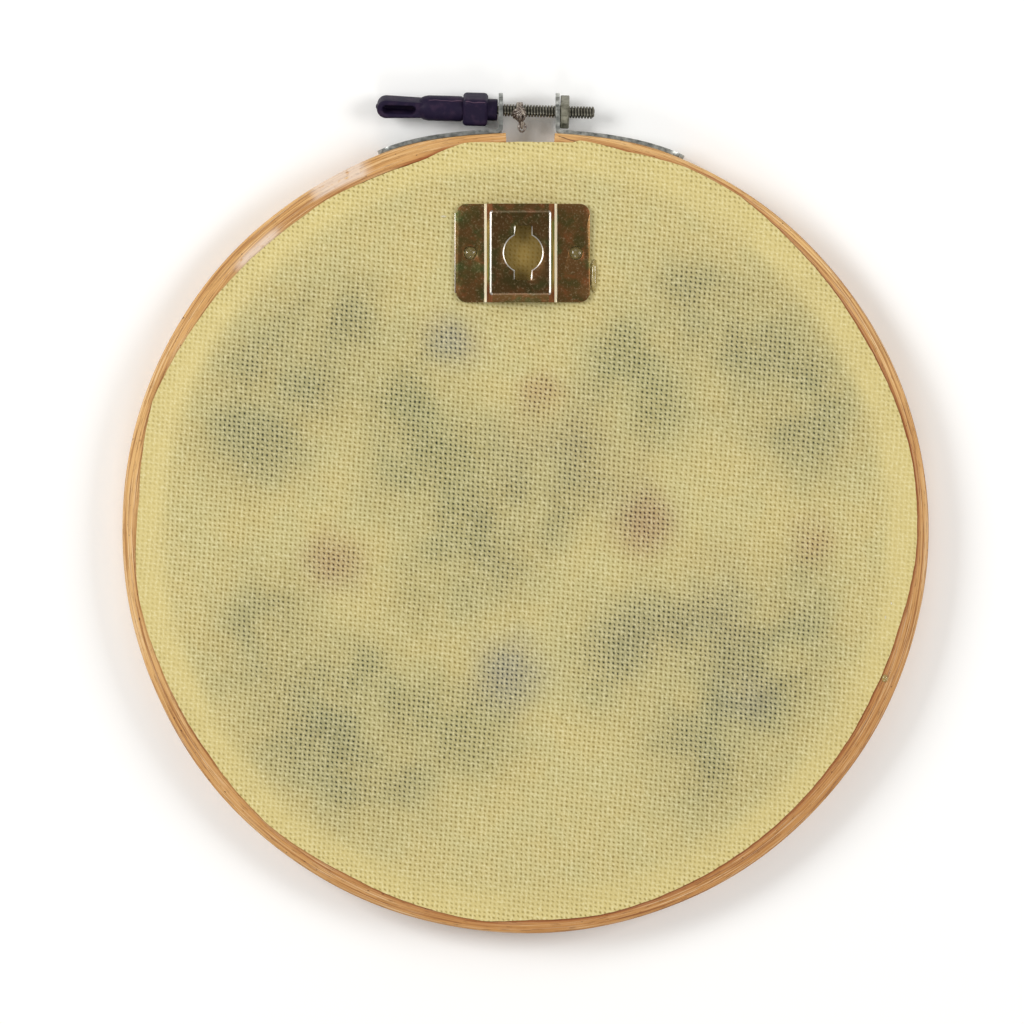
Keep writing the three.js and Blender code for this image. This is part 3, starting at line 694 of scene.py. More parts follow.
class Bench:
    """Blender's modelling operators, on one piece at a time."""

    @staticmethod
    def take(*pieces: Piece) -> None:
        """Select only these pieces, with the first one active.

        Args:
            pieces: the pieces, at least one.
        """
        bpy.ops.object.select_all(action="DESELECT")
        for piece in pieces:
            piece.select_set(True)
        bpy.context.view_layer.objects.active = pieces[0]

    @staticmethod
    def added(name: str) -> Piece:
        """Name the active piece and its mesh.

        Args:
            name: the new name.
        Returns:
            The piece.
        """
        piece = bpy.context.object
        piece.name = name
        piece.data.name = name
        return piece

    @staticmethod
    def add(shape: str, name: str, **settings: Any) -> Piece:
        """Add a primitive, with nothing else selected.

        Args:
            shape: the primitive's kind.
            name: the piece's name.
            settings: its sizes and place, in metres.
        Returns:
            The piece.
        """
        bpy.ops.object.select_all(action="DESELECT")
        getattr(bpy.ops.mesh, f"primitive_{shape}_add")(**settings)
        return Bench.added(name)

    @staticmethod
    def cylinder(name: str, radius: float, depth: float, sides: int, **place: Any) -> Piece:
        """Add a cylinder whose radius and depth are in millimetres."""
        size = {"radius": radius * MM, "depth": depth * MM, "vertices": sides}
        return Bench.add("cylinder", name, **size, **place)

    @staticmethod
    def disc(name: str, radius: float, sides: int, **place: Any) -> Piece:
        """Add a filled circle whose radius is in millimetres."""
        size = {"radius": radius * MM, "vertices": sides, "fill_type": "NGON"}
        return Bench.add("circle", name, **size, **place)

    @staticmethod
    def block(name: str, place: Vector, size: Vector) -> Piece:
        """Add a cube and draw it out to a size.

        Args:
            name: the piece's name.
            place: its middle, in millimetres.
            size: its three sides.
        Returns:
            The block, with its place in its mesh.
        """
        piece = Bench.add("cube", name, size=1, location=place * MM)
        Bench.edit(piece)
        bpy.ops.transform.resize(value=size * MM, center_override=place * MM)
        Bench.leave()
        Bench.settle(piece)
        return piece

    @staticmethod
    def apply(piece: Piece, kind: str, **settings: Any) -> None:
        """Add a modifier with its settings and apply it.

        Args:
            piece: the piece.
            kind: the modifier's type.
            settings: its options.
        """
        Bench.take(piece)
        modifier = piece.modifiers.new(kind.lower(), kind)
        for name, setting in settings.items():
            setattr(modifier, name, setting)
        bpy.ops.object.modifier_apply(modifier=modifier.name)

    @staticmethod
    def combine(piece: Piece, other: Piece, operation: str = "DIFFERENCE") -> None:
        """Cut a piece with another one, or keep where they meet; the other is used up."""
        Bench.apply(piece, "BOOLEAN", object=other, operation=operation, solver="EXACT")
        bpy.data.objects.remove(other)

    @staticmethod
    def edit(piece: Piece) -> None:
        """Go into edit mode with everything selected, by points.

        Args:
            piece: the piece.
        """
        Bench.take(piece)
        bpy.ops.object.mode_set(mode="EDIT")
        bpy.ops.mesh.select_mode(type="VERT")
        bpy.ops.mesh.select_all(action="SELECT")

    @staticmethod
    def leave() -> None:
        """Go back to object mode."""
        bpy.ops.object.mode_set(mode="OBJECT")

    @staticmethod
    def extrude(*way: float) -> None:
        """Extrude what is selected, along a way in millimetres."""
        step = {"value": tuple(part * MM for part in way)}
        bpy.ops.mesh.extrude_region_move(TRANSFORM_OT_translate=step)

    @staticmethod
    def round_off(piece: Piece, width: float, segments: int) -> None:
        """Bevel all of a piece's sharp edges, by a width in millimetres."""
        limit = {"limit_method": "ANGLE", "angle_limit": SHARP}
        Bench.apply(piece, "BEVEL", width=width * MM, segments=segments, **limit)

    @staticmethod
    def close(piece: Piece) -> None:
        """Merge doubles, fill open ends and turn the faces outwards.

        Args:
            piece: the piece.
        """
        Bench.edit(piece)
        bpy.ops.mesh.remove_doubles(threshold=DOUBLES)
        bpy.ops.mesh.fill_holes(sides=0)
        bpy.ops.mesh.normals_make_consistent(inside=False)
        Bench.leave()

    @staticmethod
    def ease(piece: Piece, width: float, wanted: Callable[[Any], bool]) -> None:
        """Round the sharp edges that pass a test.

        Args:
            piece: the piece.
            width: how far from the edge, in millimetres.
            wanted: the test.
        """
        Bench.edit(piece)
        bpy.ops.mesh.select_all(action="DESELECT")
        bpy.ops.mesh.select_mode(type="EDGE")
        bpy.ops.mesh.edges_select_sharp(sharpness=SHARP)
        Bench.leave()
        for edge in piece.data.edges:
            edge.select = edge.select and wanted(edge)
        bpy.ops.object.mode_set(mode="EDIT")
        bpy.ops.mesh.bevel(offset=width * MM, segments=2, affect="EDGES", clamp_overlap=False)
        Bench.leave()

    @staticmethod
    def select(piece: Piece, kind: str, wanted: Callable[[Any], bool]) -> None:
        """Select faces, edges or vertices by a test, from edit mode and back into it.

        Args:
            piece: the piece.
            kind: FACE, EDGE or VERT.
            wanted: the test.
        """
        bpy.ops.mesh.select_all(action="DESELECT")
        bpy.ops.mesh.select_mode(type=kind)
        Bench.leave()
        mesh = piece.data
        parts = {"VERT": mesh.vertices, "EDGE": mesh.edges, "FACE": mesh.polygons}[kind]
        for part in parts:
            part.select = wanted(part)
        bpy.ops.object.mode_set(mode="EDIT")

    @staticmethod
    def ends(piece: Piece, edge: Any) -> list[Vector]:
        """Both ends of an edge, in millimetres."""
        return [piece.data.vertices[number].co / MM for number in edge.vertices]

    @staticmethod
    def settle(piece: Piece, place: Matrix = UNMOVED) -> None:
        """Put a piece in its place and move that place into its mesh.

        Args:
            piece: the piece.
            place: how it moves from here.
        """
        piece.matrix_world = place @ piece.matrix_world
        Bench.take(piece)
        bpy.ops.object.transform_apply(location=True, rotation=True, scale=True)

    @staticmethod
    def join(name: str, pieces: Sequence[Piece]) -> Piece:
        """Join pieces into one.

        Args:
            name: its name.
            pieces: its parts.
        Returns:
            The whole.
        """
        Bench.take(*pieces)
        bpy.ops.object.join()
        return Bench.added(name)

    @staticmethod
    def smooth(piece: Piece, angle: float = 32) -> None:
        """Shade smooth up to an angle in degrees."""
        Bench.take(piece)
        bpy.ops.object.shade_smooth_by_angle(angle=math.radians(angle))

    @staticmethod
    def sheet(name: str, rows: np.ndarray) -> Piece:
        """Grid primitive whose points are moved to an array of rows.

        Args:
            name: the piece's name.
            rows: points in metres, as rows by columns by 3.
        Returns:
            The sheet.
        """
        down, across = rows.shape[0] - 1, rows.shape[1] - 1
        piece = Bench.add("grid", name, x_subdivisions=across, y_subdivisions=down, size=1)
        points = coordinates(piece)
        column = np.rint((points[:, 0] + 0.5) * across).astype(int)
        row = np.rint((points[:, 1] + 0.5) * down).astype(int)
        move(piece, rows[row, column])
        return piece


def coordinates(piece: Piece) -> np.ndarray:
    """Read a mesh's points.

    Args:
        piece: the piece.
    Returns:
        Their places in metres, one row each.
    """
    points = np.empty(len(piece.data.vertices) * 3)
    piece.data.vertices.foreach_get("co", points)
    return points.reshape(-1, 3)


def move(piece: Piece, points: np.ndarray) -> None:
    """Move a mesh's points."""
    piece.data.vertices.foreach_set("co", np.ascontiguousarray(points).ravel())
    piece.data.update()


def carry(piece: Piece, name: str, kind: str, values: np.ndarray) -> None:
    """Give a mesh's points an attribute of kind FLOAT or FLOAT_COLOR."""
    layer = piece.data.attributes.new(name, kind, "POINT")
    layer.data.foreach_set(
        "value" if kind == "FLOAT" else "color", np.ascontiguousarray(values).ravel()
    )


def from_arrays(name: str, points: np.ndarray, faces: Sequence[Sequence[int]]) -> Piece:
    """Mesh piece from points in millimetres in the hoop's frame, and faces.

    Args:
        name: the piece's name.
        points: one row a point.
        faces: the points of each face.
    Returns:
        The piece, in the row frame.
    """
    mesh = bpy.data.meshes.new(name)
    mesh.from_pydata(((points + (0, HOOP_Y, 0)) * MM).tolist(), [], faces)
    mesh.update()
    piece = bpy.data.objects.new(name, mesh)
    bpy.context.collection.objects.link(piece)
    return piece


def dress(
    piece: Piece, finish: Any, body: Body = Body.HOOP, stands_for: Sequence[str] = ()
) -> None:
    """Give a piece its material and body, and hide the nodes it stands for.

    Args:
        piece: the finished piece.
        finish: the finish that makes its material.
        body: the body that it rides on.
        stands_for: CAD nodes that it replaces.
    """
    piece.data.materials.clear()
    piece.data.materials.append(finish.make())
    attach(piece, body.value)
    if stands_for:
        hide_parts(*stands_for)
    faces = sum(len(face.vertices) - 2 for face in piece.data.polygons)
    LOG.info("%s: %d triangles on %s", piece.name, faces, body.value)


def rounded_path(corners: Sequence[Plan], radius: float, steps: int = 6) -> list[Plan]:
    """Line through corners, each inner one eased over a radius.

    Args:
        corners: the line's corners.
        radius: how far from a corner its curve begins.
        steps: spans of each curve.
    Returns:
        The points of the line.
    """
    path = [corners[0]]
    for before, corner, after in zip(corners, corners[1:], corners[2:]):
        here = Vector(corner)
        start = here + (Vector(before) - here).normalized() * radius
        end = here + (Vector(after) - here).normalized() * radius
        for step in range(steps + 1):
            share = step / steps
            point = start.lerp(here, share).lerp(here.lerp(end, share), share)
            path.append((point.x, point.y))
    path.append(corners[-1])
    return path


class Strands:
    """Many thin threads, gathered and made into one mesh."""

    def __init__(self, sides: int) -> None:
        """Start with no threads.

        Args:
            sides: how many sides each thread's section has.
        """
        self.sides = sides
        self.points: list[np.ndarray] = []
        self.faces: list[list[int]] = []
        self.colours: list[Colour] = []
        self.count = 0

    def add(self, path: Sequence[Point], radius: float, colour: Colour, taper: float = 1.0) -> None:
        """Add a thread.

        Args:
            path: points of its middle.
            radius: its radius.
            colour: its own colour.
            taper: share of the radius at both ends.
        """
        middle = np.asarray(path, float)
        along = np.gradient(middle, axis=0)
        along /= np.linalg.norm(along, axis=1, keepdims=True) + 1e-12
        steep = abs(along[0, 2]) >= 0.9
        guide = np.array((0.97, 0.2, 0.1) if steep else (0.13, 0.21, 0.97))
        side = np.cross(along, guide)
        side /= np.linalg.norm(side, axis=1, keepdims=True) + 1e-12
        up = np.cross(side, along)
        turns = np.arange(self.sides) * TAU / self.sides
        rows = len(middle)
        girth = np.full(rows, radius)
        girth[[0, -1]] *= taper
        cosines, sines = (wave(turns)[None, :, None] for wave in (np.cos, np.sin))
        ring = side[:, None] * cosines + up[:, None] * sines
        self.points.append((middle[:, None] + ring * girth[:, None, None]).reshape(-1, 3))
        base, sides = self.count, self.sides
        for row in range(rows - 1):
            for j in range(sides):
                a, b = base + row * sides + j, base + row * sides + (j + 1) % sides
                self.faces.append([a, b, b + sides, a + sides])
        last = base + (rows - 1) * sides
        self.faces.append(list(range(base + sides - 1, base - 1, -1)))
        self.faces.append(list(range(last, last + sides)))
        self.colours.extend([colour] * (rows * sides))
        self.count += rows * sides

    def mesh(self, name: str) -> Piece:
        """Make one piece of all the threads.

        Args:
            name: the piece's name.
        Returns:
            The piece, with its colours.
        """
        piece = from_arrays(name, np.concatenate(self.points), self.faces)
        carry(piece, "floss", "FLOAT_COLOR", np.array(self.colours))
        Bench.smooth(piece, 70)
        return piece


CUT_CORNERS = (
    (-4, 98.6), (10, 99.1), (30, 98.1), (47, 98.7), (57, 100), (66, 100), (75, 98.7), (81, 99.2),
    (82, 99.2), (83, 98.4), (87, 97.9), (93, 97.8), (99, 98.8), (102.5, 97.8), (104.6, 96.9),
    (108, 96.5), (115, 96.6), (121, 97.1), (126, 96.8), (133, 97), (149, 98), (161, 99.3),
    (175, 97.5), (190, 98.8), (201, 98), (215, 97.6), (229, 98.4), (243, 97.6), (264, 99),
    (271, 98.1), (281, 98.7), (303, 97.7), (319, 97.2), (335, 96.8), (346, 97.3), (356, 98.6),
)


def cut_edge(angle: np.ndarray) -> np.ndarray:
    """Radius of the backing's hand-cut edge at angles in degrees."""
    turn = np.mod(np.asarray(angle, float) + 4, 360) - 4
    return np.interp(turn, *zip(*CUT_CORNERS))


@dataclass
class WoodenRings:
    """The split outer ring, whose ends are planed down under the clamp, and the inner ring."""

    radius: float = 101.6
    thickness: float = 5.2
    depth: float = 10.0
    rounding: float = 0.6
    left_end: float = 92.78
    right_end: float = 85.71
    thinning: float = 1.35
    thinned_arc: float = 17.0
    steps: int = 340

    def outer_radius(self, angle: Any) -> Any:
        """Outer face of the ring, lower towards its ends.

        Args:
            angle: one angle or many, in degrees.
        Returns:
            The radius there.
        """
        turn = np.mod(np.asarray(angle, float) - self.left_end, 360)
        span = np.mod(self.right_end - self.left_end, 360)
        from_end = np.clip(np.minimum(turn, span - turn), 0, None)
        return self.radius - self.thinning * (1 - smoothstep(from_end, 0, self.thinned_arc))

    def build(self) -> Piece:
        """Spin a rounded section round the hoop and plane down its ends.

        Returns:
            The ring.
        """
        centre = (0, HOOP_Y * MM, 0)
        middle = (self.radius - self.thickness / 2) * MM
        ring = Bench.add("plane", "split_ring", size=1, location=centre)
        Bench.edit(ring)
        bpy.ops.transform.rotate(value=math.pi / 2, orient_axis="X", center_override=centre)
        section = (self.thickness * MM, 1, self.depth * MM)
        bpy.ops.transform.resize(value=section, center_override=centre)
        bpy.ops.transform.translate(value=(middle, 0, self.depth / 2 * MM))
        bpy.ops.mesh.bevel(offset=self.rounding * MM, segments=4, affect="VERTICES")
        bpy.ops.mesh.delete(type="ONLY_FACE")
        Bench.select(ring, "EDGE", lambda edge: self.is_flat(*Bench.ends(ring, edge)))
        bpy.ops.mesh.subdivide(number_cuts=6)
        bpy.ops.mesh.select_all(action="SELECT")
        turn = math.radians((self.right_end - self.left_end) % 360)
        bpy.ops.mesh.spin(steps=self.steps, angle=turn, center=centre, axis=(0, 0, 1))
        Bench.leave()
        Bench.close(ring)
        axis = Matrix.Translation(centre)
        turned = axis @ Matrix.Rotation(math.radians(self.right_end), 4, "Z") @ axis.inverted()
        Bench.settle(ring, turned)
        self.plane_down(ring)
        Bench.smooth(ring, 40)
        return ring

    @staticmethod
    def is_flat(first: Vector, second: Vector) -> bool:
        """Whether an edge is one of the section's flats, and not in a rounded corner."""
        return (first - second).length > 2

    def plane_down(self, ring: Piece) -> None:
        """Thin the ends, make the faces a little uneven and mark where glue lies, the soak along the
        cloth's edge weighted towards the right and bottom as painted shade beside the edge.

        Args:
            ring: the ring.
        """
        points = coordinates(ring) / MM - (0, HOOP_Y, 0)
        angle = np.degrees(np.arctan2(points[:, 1], points[:, 0]))
        radius = np.hypot(points[:, 0], points[:, 1])
        inner = self.radius - self.thickness
        share = np.clip((radius - inner) / self.thickness, 0, 1)
        uneven = 0.1 * np.sin(np.radians(angle * 5) + 1) + 0.06 * np.sin(np.radians(angle * 13) + 2)
        planed = inner + (self.outer_radius(angle) - inner) * share + uneven * (share - 0.2)
        height = points[:, 2] - 0.05 * (1 + np.sin(np.radians(angle * 3))) * (points[:, 2] > 9)
        turn = np.radians(angle)
        moved = np.column_stack((planed * np.cos(turn), planed * np.sin(turn), height))
        move(ring, (moved + (0, HOOP_Y, 0)) * MM)
        on_top = smoothstep(points[:, 2], 8.6, 9.6)
        beyond = planed - cut_edge(angle)
        # glue soak by the cloth's edge, weighted up on the right and lower side as painted shade
        # beside the edge
        soak_and_shade_side = 0.3 + 0.7 * smoothstep(points[:, 0] - 0.4 * points[:, 1], -50, 70)
        soak_and_shade_side += 0.9 * between(angle, (100, 103), (108, 111))
        carry(ring, "glue_soak_and_edge_shade", "FLOAT", on_top * soak_and_shade_side * (1 - smoothstep(beyond, 0.1, 1.2)))
        first = between(angle, (113.4, 113.8), (121.0, 123.2)) * smoothstep(beyond, 0.9, 1.9)
        second = between(angle, (128.5, 131.0), (136.0, 139.0)) * (1 - smoothstep(beyond, 1.2, 2.6))
        carry(ring, "glue_film", "FLOAT", on_top * np.maximum(first, second))

    def dress(self, ring: Piece) -> None:
        """Give both rings their wood.

        Args:
            ring: the outer ring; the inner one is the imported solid.
        """
        wood = RingWood()
        dress(ring, wood, stands_for=["outer_hoop"])
        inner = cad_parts["inner_hoop"]
        inner.data.materials.clear()
        inner.data.materials.append(RingWood(name="inner_ring_wood").make())
        LOG.info("inner_hoop: the packed solid, in wood")


class Floss(Enum):
    """Thread colours of the embroidery."""

    PINE = tint(44, 74, 48)
    MOSS = tint(92, 110, 58)
    SAGE = tint(136, 148, 106)
    BROWN = tint(104, 70, 66)
    BLUE = tint(58, 86, 148)
    RED = tint(170, 50, 46)
    ORANGE = tint(216, 130, 50)
    YELLOW = tint(228, 192, 92)


@dataclass(frozen=True)
class Leaf:
    """A leaf or petal of slanting stitches, from its foot along its heading in degrees."""

    x: float
    y: float
    length: float
    width: float
    heading: float
    floss: Floss


@dataclass(frozen=True)
class Sprig:
    """A stem with leaves on both sides."""

    start: tuple[float, float]
    end: tuple[float, float]
    bow: float
    leaves: int
    length: float
    floss: Floss

    def stem(self, share: float) -> tuple[float, float, float]:
        """Follow the stem.

        Args:
            share: how far along it.
        Returns:
            The point there, and the heading in degrees.
        """
        (x0, y0), (x1, y1) = self.start, self.end
        dx, dy = x1 - x0, y1 - y0
        lift = 4 * self.bow * share * (1 - share)
        slope = 4 * self.bow * (1 - 2 * share)
        span = math.hypot(dx, dy)
        x = x0 + dx * share - dy / span * lift
        y = y0 + dy * share + dx / span * lift
        heading = math.degrees(math.atan2(dy + dx / span * slope, dx - dy / span * slope))
        return x, y, heading

    def foliage(self) -> list[Leaf]:
        """Set leaves on both sides in turn, and one at the tip.

        Returns:
            The leaves.
        """
        leaves = []
        for number in range(self.leaves):
            share = 0.14 + 0.8 * number / max(self.leaves - 1, 1)
            x, y, heading = self.stem(share)
            side = 1 if number % 2 else -1
            length = self.length * (1.1 - 0.35 * share)
            leaves.append(Leaf(x, y, length, length * 0.42, heading + side * 48, self.floss))
        x, y, heading = self.stem(1.0)
        leaves.append(Leaf(x, y, self.length * 0.8, self.length * 0.32, heading, self.floss))
        return leaves


@dataclass(frozen=True)
class Blossom:
    """A round flower of separate petals."""

    x: float
    y: float
    radius: float
    petals: int
    floss: Floss

    def petal_leaves(self) -> list[Leaf]:
        """Set petals from near the flower's middle outwards.

        Returns:
            The petals.
        """
        leaves = []
        for number in range(self.petals):
            heading = 360 * number / self.petals + self.x
            foot = 0.22 * self.radius
            x = self.x + foot * math.cos(math.radians(heading))
            y = self.y + foot * math.sin(math.radians(heading))
            leaves.append(Leaf(x, y, 0.78 * self.radius, 0.62 * self.radius, heading, self.floss))
        return leaves


@dataclass
class Embroidery:
    """Generic sprigs and flowers stitched on the hidden front of the ground cloth."""

    front: float = 1.6
    thread: float = 0.26
    spacing: float = 0.5
    sprigs: tuple[Sprig, ...] = (
        Sprig((-20, -70), (-66, -24), 9, 9, 15, Floss.PINE),
        Sprig((-8, -64), (-40, -38), -6, 5, 12, Floss.MOSS),
        Sprig((26, -62), (68, -20), -8, 8, 14, Floss.PINE),
        Sprig((12, -44), (40, -22), 5, 5, 12, Floss.SAGE),
        Sprig((70, 10), (44, 58), -8, 8, 14, Floss.PINE),
        Sprig((40, 24), (24, 46), 4, 5, 11, Floss.MOSS),
        Sprig((-70, 8), (-46, 52), 8, 8, 14, Floss.PINE),
        Sprig((-40, 8), (-28, 36), -4, 5, 12, Floss.MOSS),
        Sprig((-14, -18), (10, 12), 5, 6, 12, Floss.PINE),
        Sprig((58, -8), (30, -28), 5, 4, 12, Floss.BROWN),
        Sprig((-34, -22), (-16, 22), -5, 5, 11, Floss.MOSS),
        Sprig((-6, 24), (20, 16), 4, 4, 11, Floss.BROWN),
    )
    blossoms: tuple[Blossom, ...] = (
        Blossom(-4, -36, 8.5, 5, Floss.BLUE),
        Blossom(30, 2, 7.5, 6, Floss.RED),
        Blossom(-48, -8, 7, 5, Floss.RED),
        Blossom(56, -42, 6, 5, Floss.BLUE),
        Blossom(72, -2, 5.5, 5, Floss.ORANGE),
        Blossom(-18, 48, 6.5, 6, Floss.BLUE),
        Blossom(4, 34, 5, 5, Floss.ORANGE),
    )

    def all_leaves(self) -> list[Leaf]:
        """Every leaf and petal."""
        leaves = [leaf for sprig in self.sprigs for leaf in sprig.foliage()]
        return leaves + [leaf for blossom in self.blossoms for leaf in blossom.petal_leaves()]

    def stitch_leaf(self, strands: Strands, leaf: Leaf) -> None:
        """Lay slanting stitches from the leaf's vein to its edges.

        Args:
            strands: where the stitches go.
            leaf: the leaf.
        """
        turn = math.radians(leaf.heading)
        ahead = np.array((math.cos(turn), math.sin(turn)))
        aside = np.array((-ahead[1], ahead[0]))
        foot = np.array((leaf.x, leaf.y))
        count = max(int(leaf.length / self.spacing), 4)
        for number in range(count):
            share = (number + 0.5) / count
            half = leaf.width / 2 * math.sin(math.pi * share ** 0.85) + 0.15
            for side in (-1, 1):
                start = foot + ahead * leaf.length * share
                end = start + ahead * 0.1 * leaf.length + aside * side * half
                middle = (start + end) / 2
                path = [
                    (*start, self.front + 0.05),
                    (*(start * 0.7 + middle * 0.3), self.front - 0.42),
                    (*(end * 0.6 + middle * 0.4), self.front - 0.34),
                    (*end, self.front + 0.05),
                ]
                strands.add(path, self.thread, leaf.floss.value, 0.7)

    def stitch_stem(self, strands: Strands, sprig: Sprig) -> None:
        """Lay a row of overlapping stitches along a stem.

        Args:
            strands: where the stitches go.
            sprig: the stem's sprig.
        """
        count = int(math.dist(sprig.start, sprig.end) / 2.6)
        for number in range(count):
            ends = [sprig.stem((number + shift) / count)[:2] for shift in (-0.2, 0.5, 1.2)]
            heights = (0.05, -0.45, 0.05)
            path = [(*end, self.front + height) for end, height in zip(ends, heights)]
            strands.add(path, self.thread * 1.3, sprig.floss.value, 0.7)

    def stitch_heart(self, strands: Strands, blossom: Blossom) -> None:
        """Set small knots in a flower's middle.

        Args:
            strands: where the stitches go.
            blossom: the flower.
        """
        for number in range(9):
            reach = 0.24 * blossom.radius * math.sqrt(number / 9)
            turn = number * 2.4
            x, y = blossom.x + reach * math.cos(turn), blossom.y + reach * math.sin(turn)
            knot = []
            for around in [TAU * step / 6 for step in range(7)]:
                across, along = 0.34 * math.cos(around), 0.34 * math.sin(around)
                knot.append((x + across, y + along, self.front - 0.5))
            strands.add(knot, 0.3, Floss.YELLOW.value)

    def build(self) -> Piece:
        """Stitch stems, then leaves and petals, then the flowers' middles.

        Returns:
            The stitching as one piece.
        """
        strands = Strands(4)
        for sprig in self.sprigs:
            self.stitch_stem(strands, sprig)
        for leaf in self.all_leaves():
            self.stitch_leaf(strands, leaf)
        for blossom in self.blossoms:
            self.stitch_heart(strands, blossom)
        return strands.mesh("embroidery")

    def show_through(self, x: np.ndarray, y: np.ndarray) -> tuple[np.ndarray, np.ndarray]:
        """How dark, and in what colour, the stitching shows through the backing.

        Args:
            x: points' x.
            y: points' y.
        Returns:
            Depth from 0 to 1, and a colour for each point.
        """
        clear = np.ones_like(x)
        weight = np.full_like(x, 1e-6)
        mixed = np.tile(np.array(tint(120, 112, 72)) * 1e-6, (len(x), 1))
        for leaf in self.all_leaves():
            turn = math.radians(leaf.heading)
            ahead = (x - leaf.x) * math.cos(turn) + (y - leaf.y) * math.sin(turn) - leaf.length / 2
            aside = (y - leaf.y) * math.cos(turn) - (x - leaf.x) * math.sin(turn)
            reach = np.hypot(ahead / (1.2 * leaf.length), aside / (1.0 * leaf.length))
            cover = 0.4 * (1 - smoothstep(reach, 0.0, 1.45))
            clear *= 1 - cover
            weight += cover
            mixed += cover[:, None] * np.array(leaf.floss.value)
        return 1 - clear, mixed / weight[:, None]

    def dress(self, piece: Piece) -> None:
        """Give the stitching its floss."""
        dress(piece, StitchFloss())


@dataclass
class GroundCloth:
    """The taut cotton ground, turned up between the rings."""

    front: float = 1.6
    radius: float = 96.1
    fold: float = 1.4
    top: float = 9.2
    thickness: float = 0.4
    sectors: int = 160
    cut_radius: float = 103.7

    def build(self) -> Piece:
        """Revolve the cloth's side view and give it its thickness.

        Returns:
            The cloth.
        """
        flat = [(self.radius - self.fold) * step / 18 for step in range(1, 19)]
        profile = [(radius, self.front) for radius in flat]
        for step in range(1, 6):
            turn = math.pi / 2 * step / 5
            across = self.radius - self.fold * (1 - math.sin(turn))
            profile.append((across, self.front + self.fold * (1 - math.cos(turn))))
        rise = self.top - profile[-1][1]
        profile += [(self.radius, self.top - rise * (3 - step) / 4) for step in range(4)]
        turns = np.arange(self.sectors) * TAU / self.sectors
        points = [(0.0, 0.0, self.front)]
        for radius, height in profile:
            points += [(radius * math.cos(turn), radius * math.sin(turn), height) for turn in turns]
        faces = polar_faces(len(profile), self.sectors)
        cloth = from_arrays("ground_cotton", np.array(points), [face[::-1] for face in faces])
        Bench.apply(cloth, "SOLIDIFY", thickness=self.thickness * MM, offset=-1)
        Bench.smooth(cloth, 40)
        return cloth

    def dress(self, cloth: Piece) -> None:
        """Args:
            cloth: the cloth.
        """
        dress(cloth, GroundCotton(), stands_for=["front_cloth"])


def polar_faces(rings: int, sectors: int) -> list[list[int]]:
    """Faces of a disc of rings round a middle point, facing up.

    Args:
        rings: how many rings of points.
        sectors: how many points each has.
    Returns:
        The points of each face.
    """
    faces = [[0, 1 + j, 1 + (j + 1) % sectors] for j in range(sectors)]
    for ring in range(rings - 1):
        here = 1 + ring * sectors
        for j in range(sectors):
            beside = (j + 1) % sectors
            faces.append([here + j, here + sectors + j, here + sectors + beside, here + beside])
    return faces


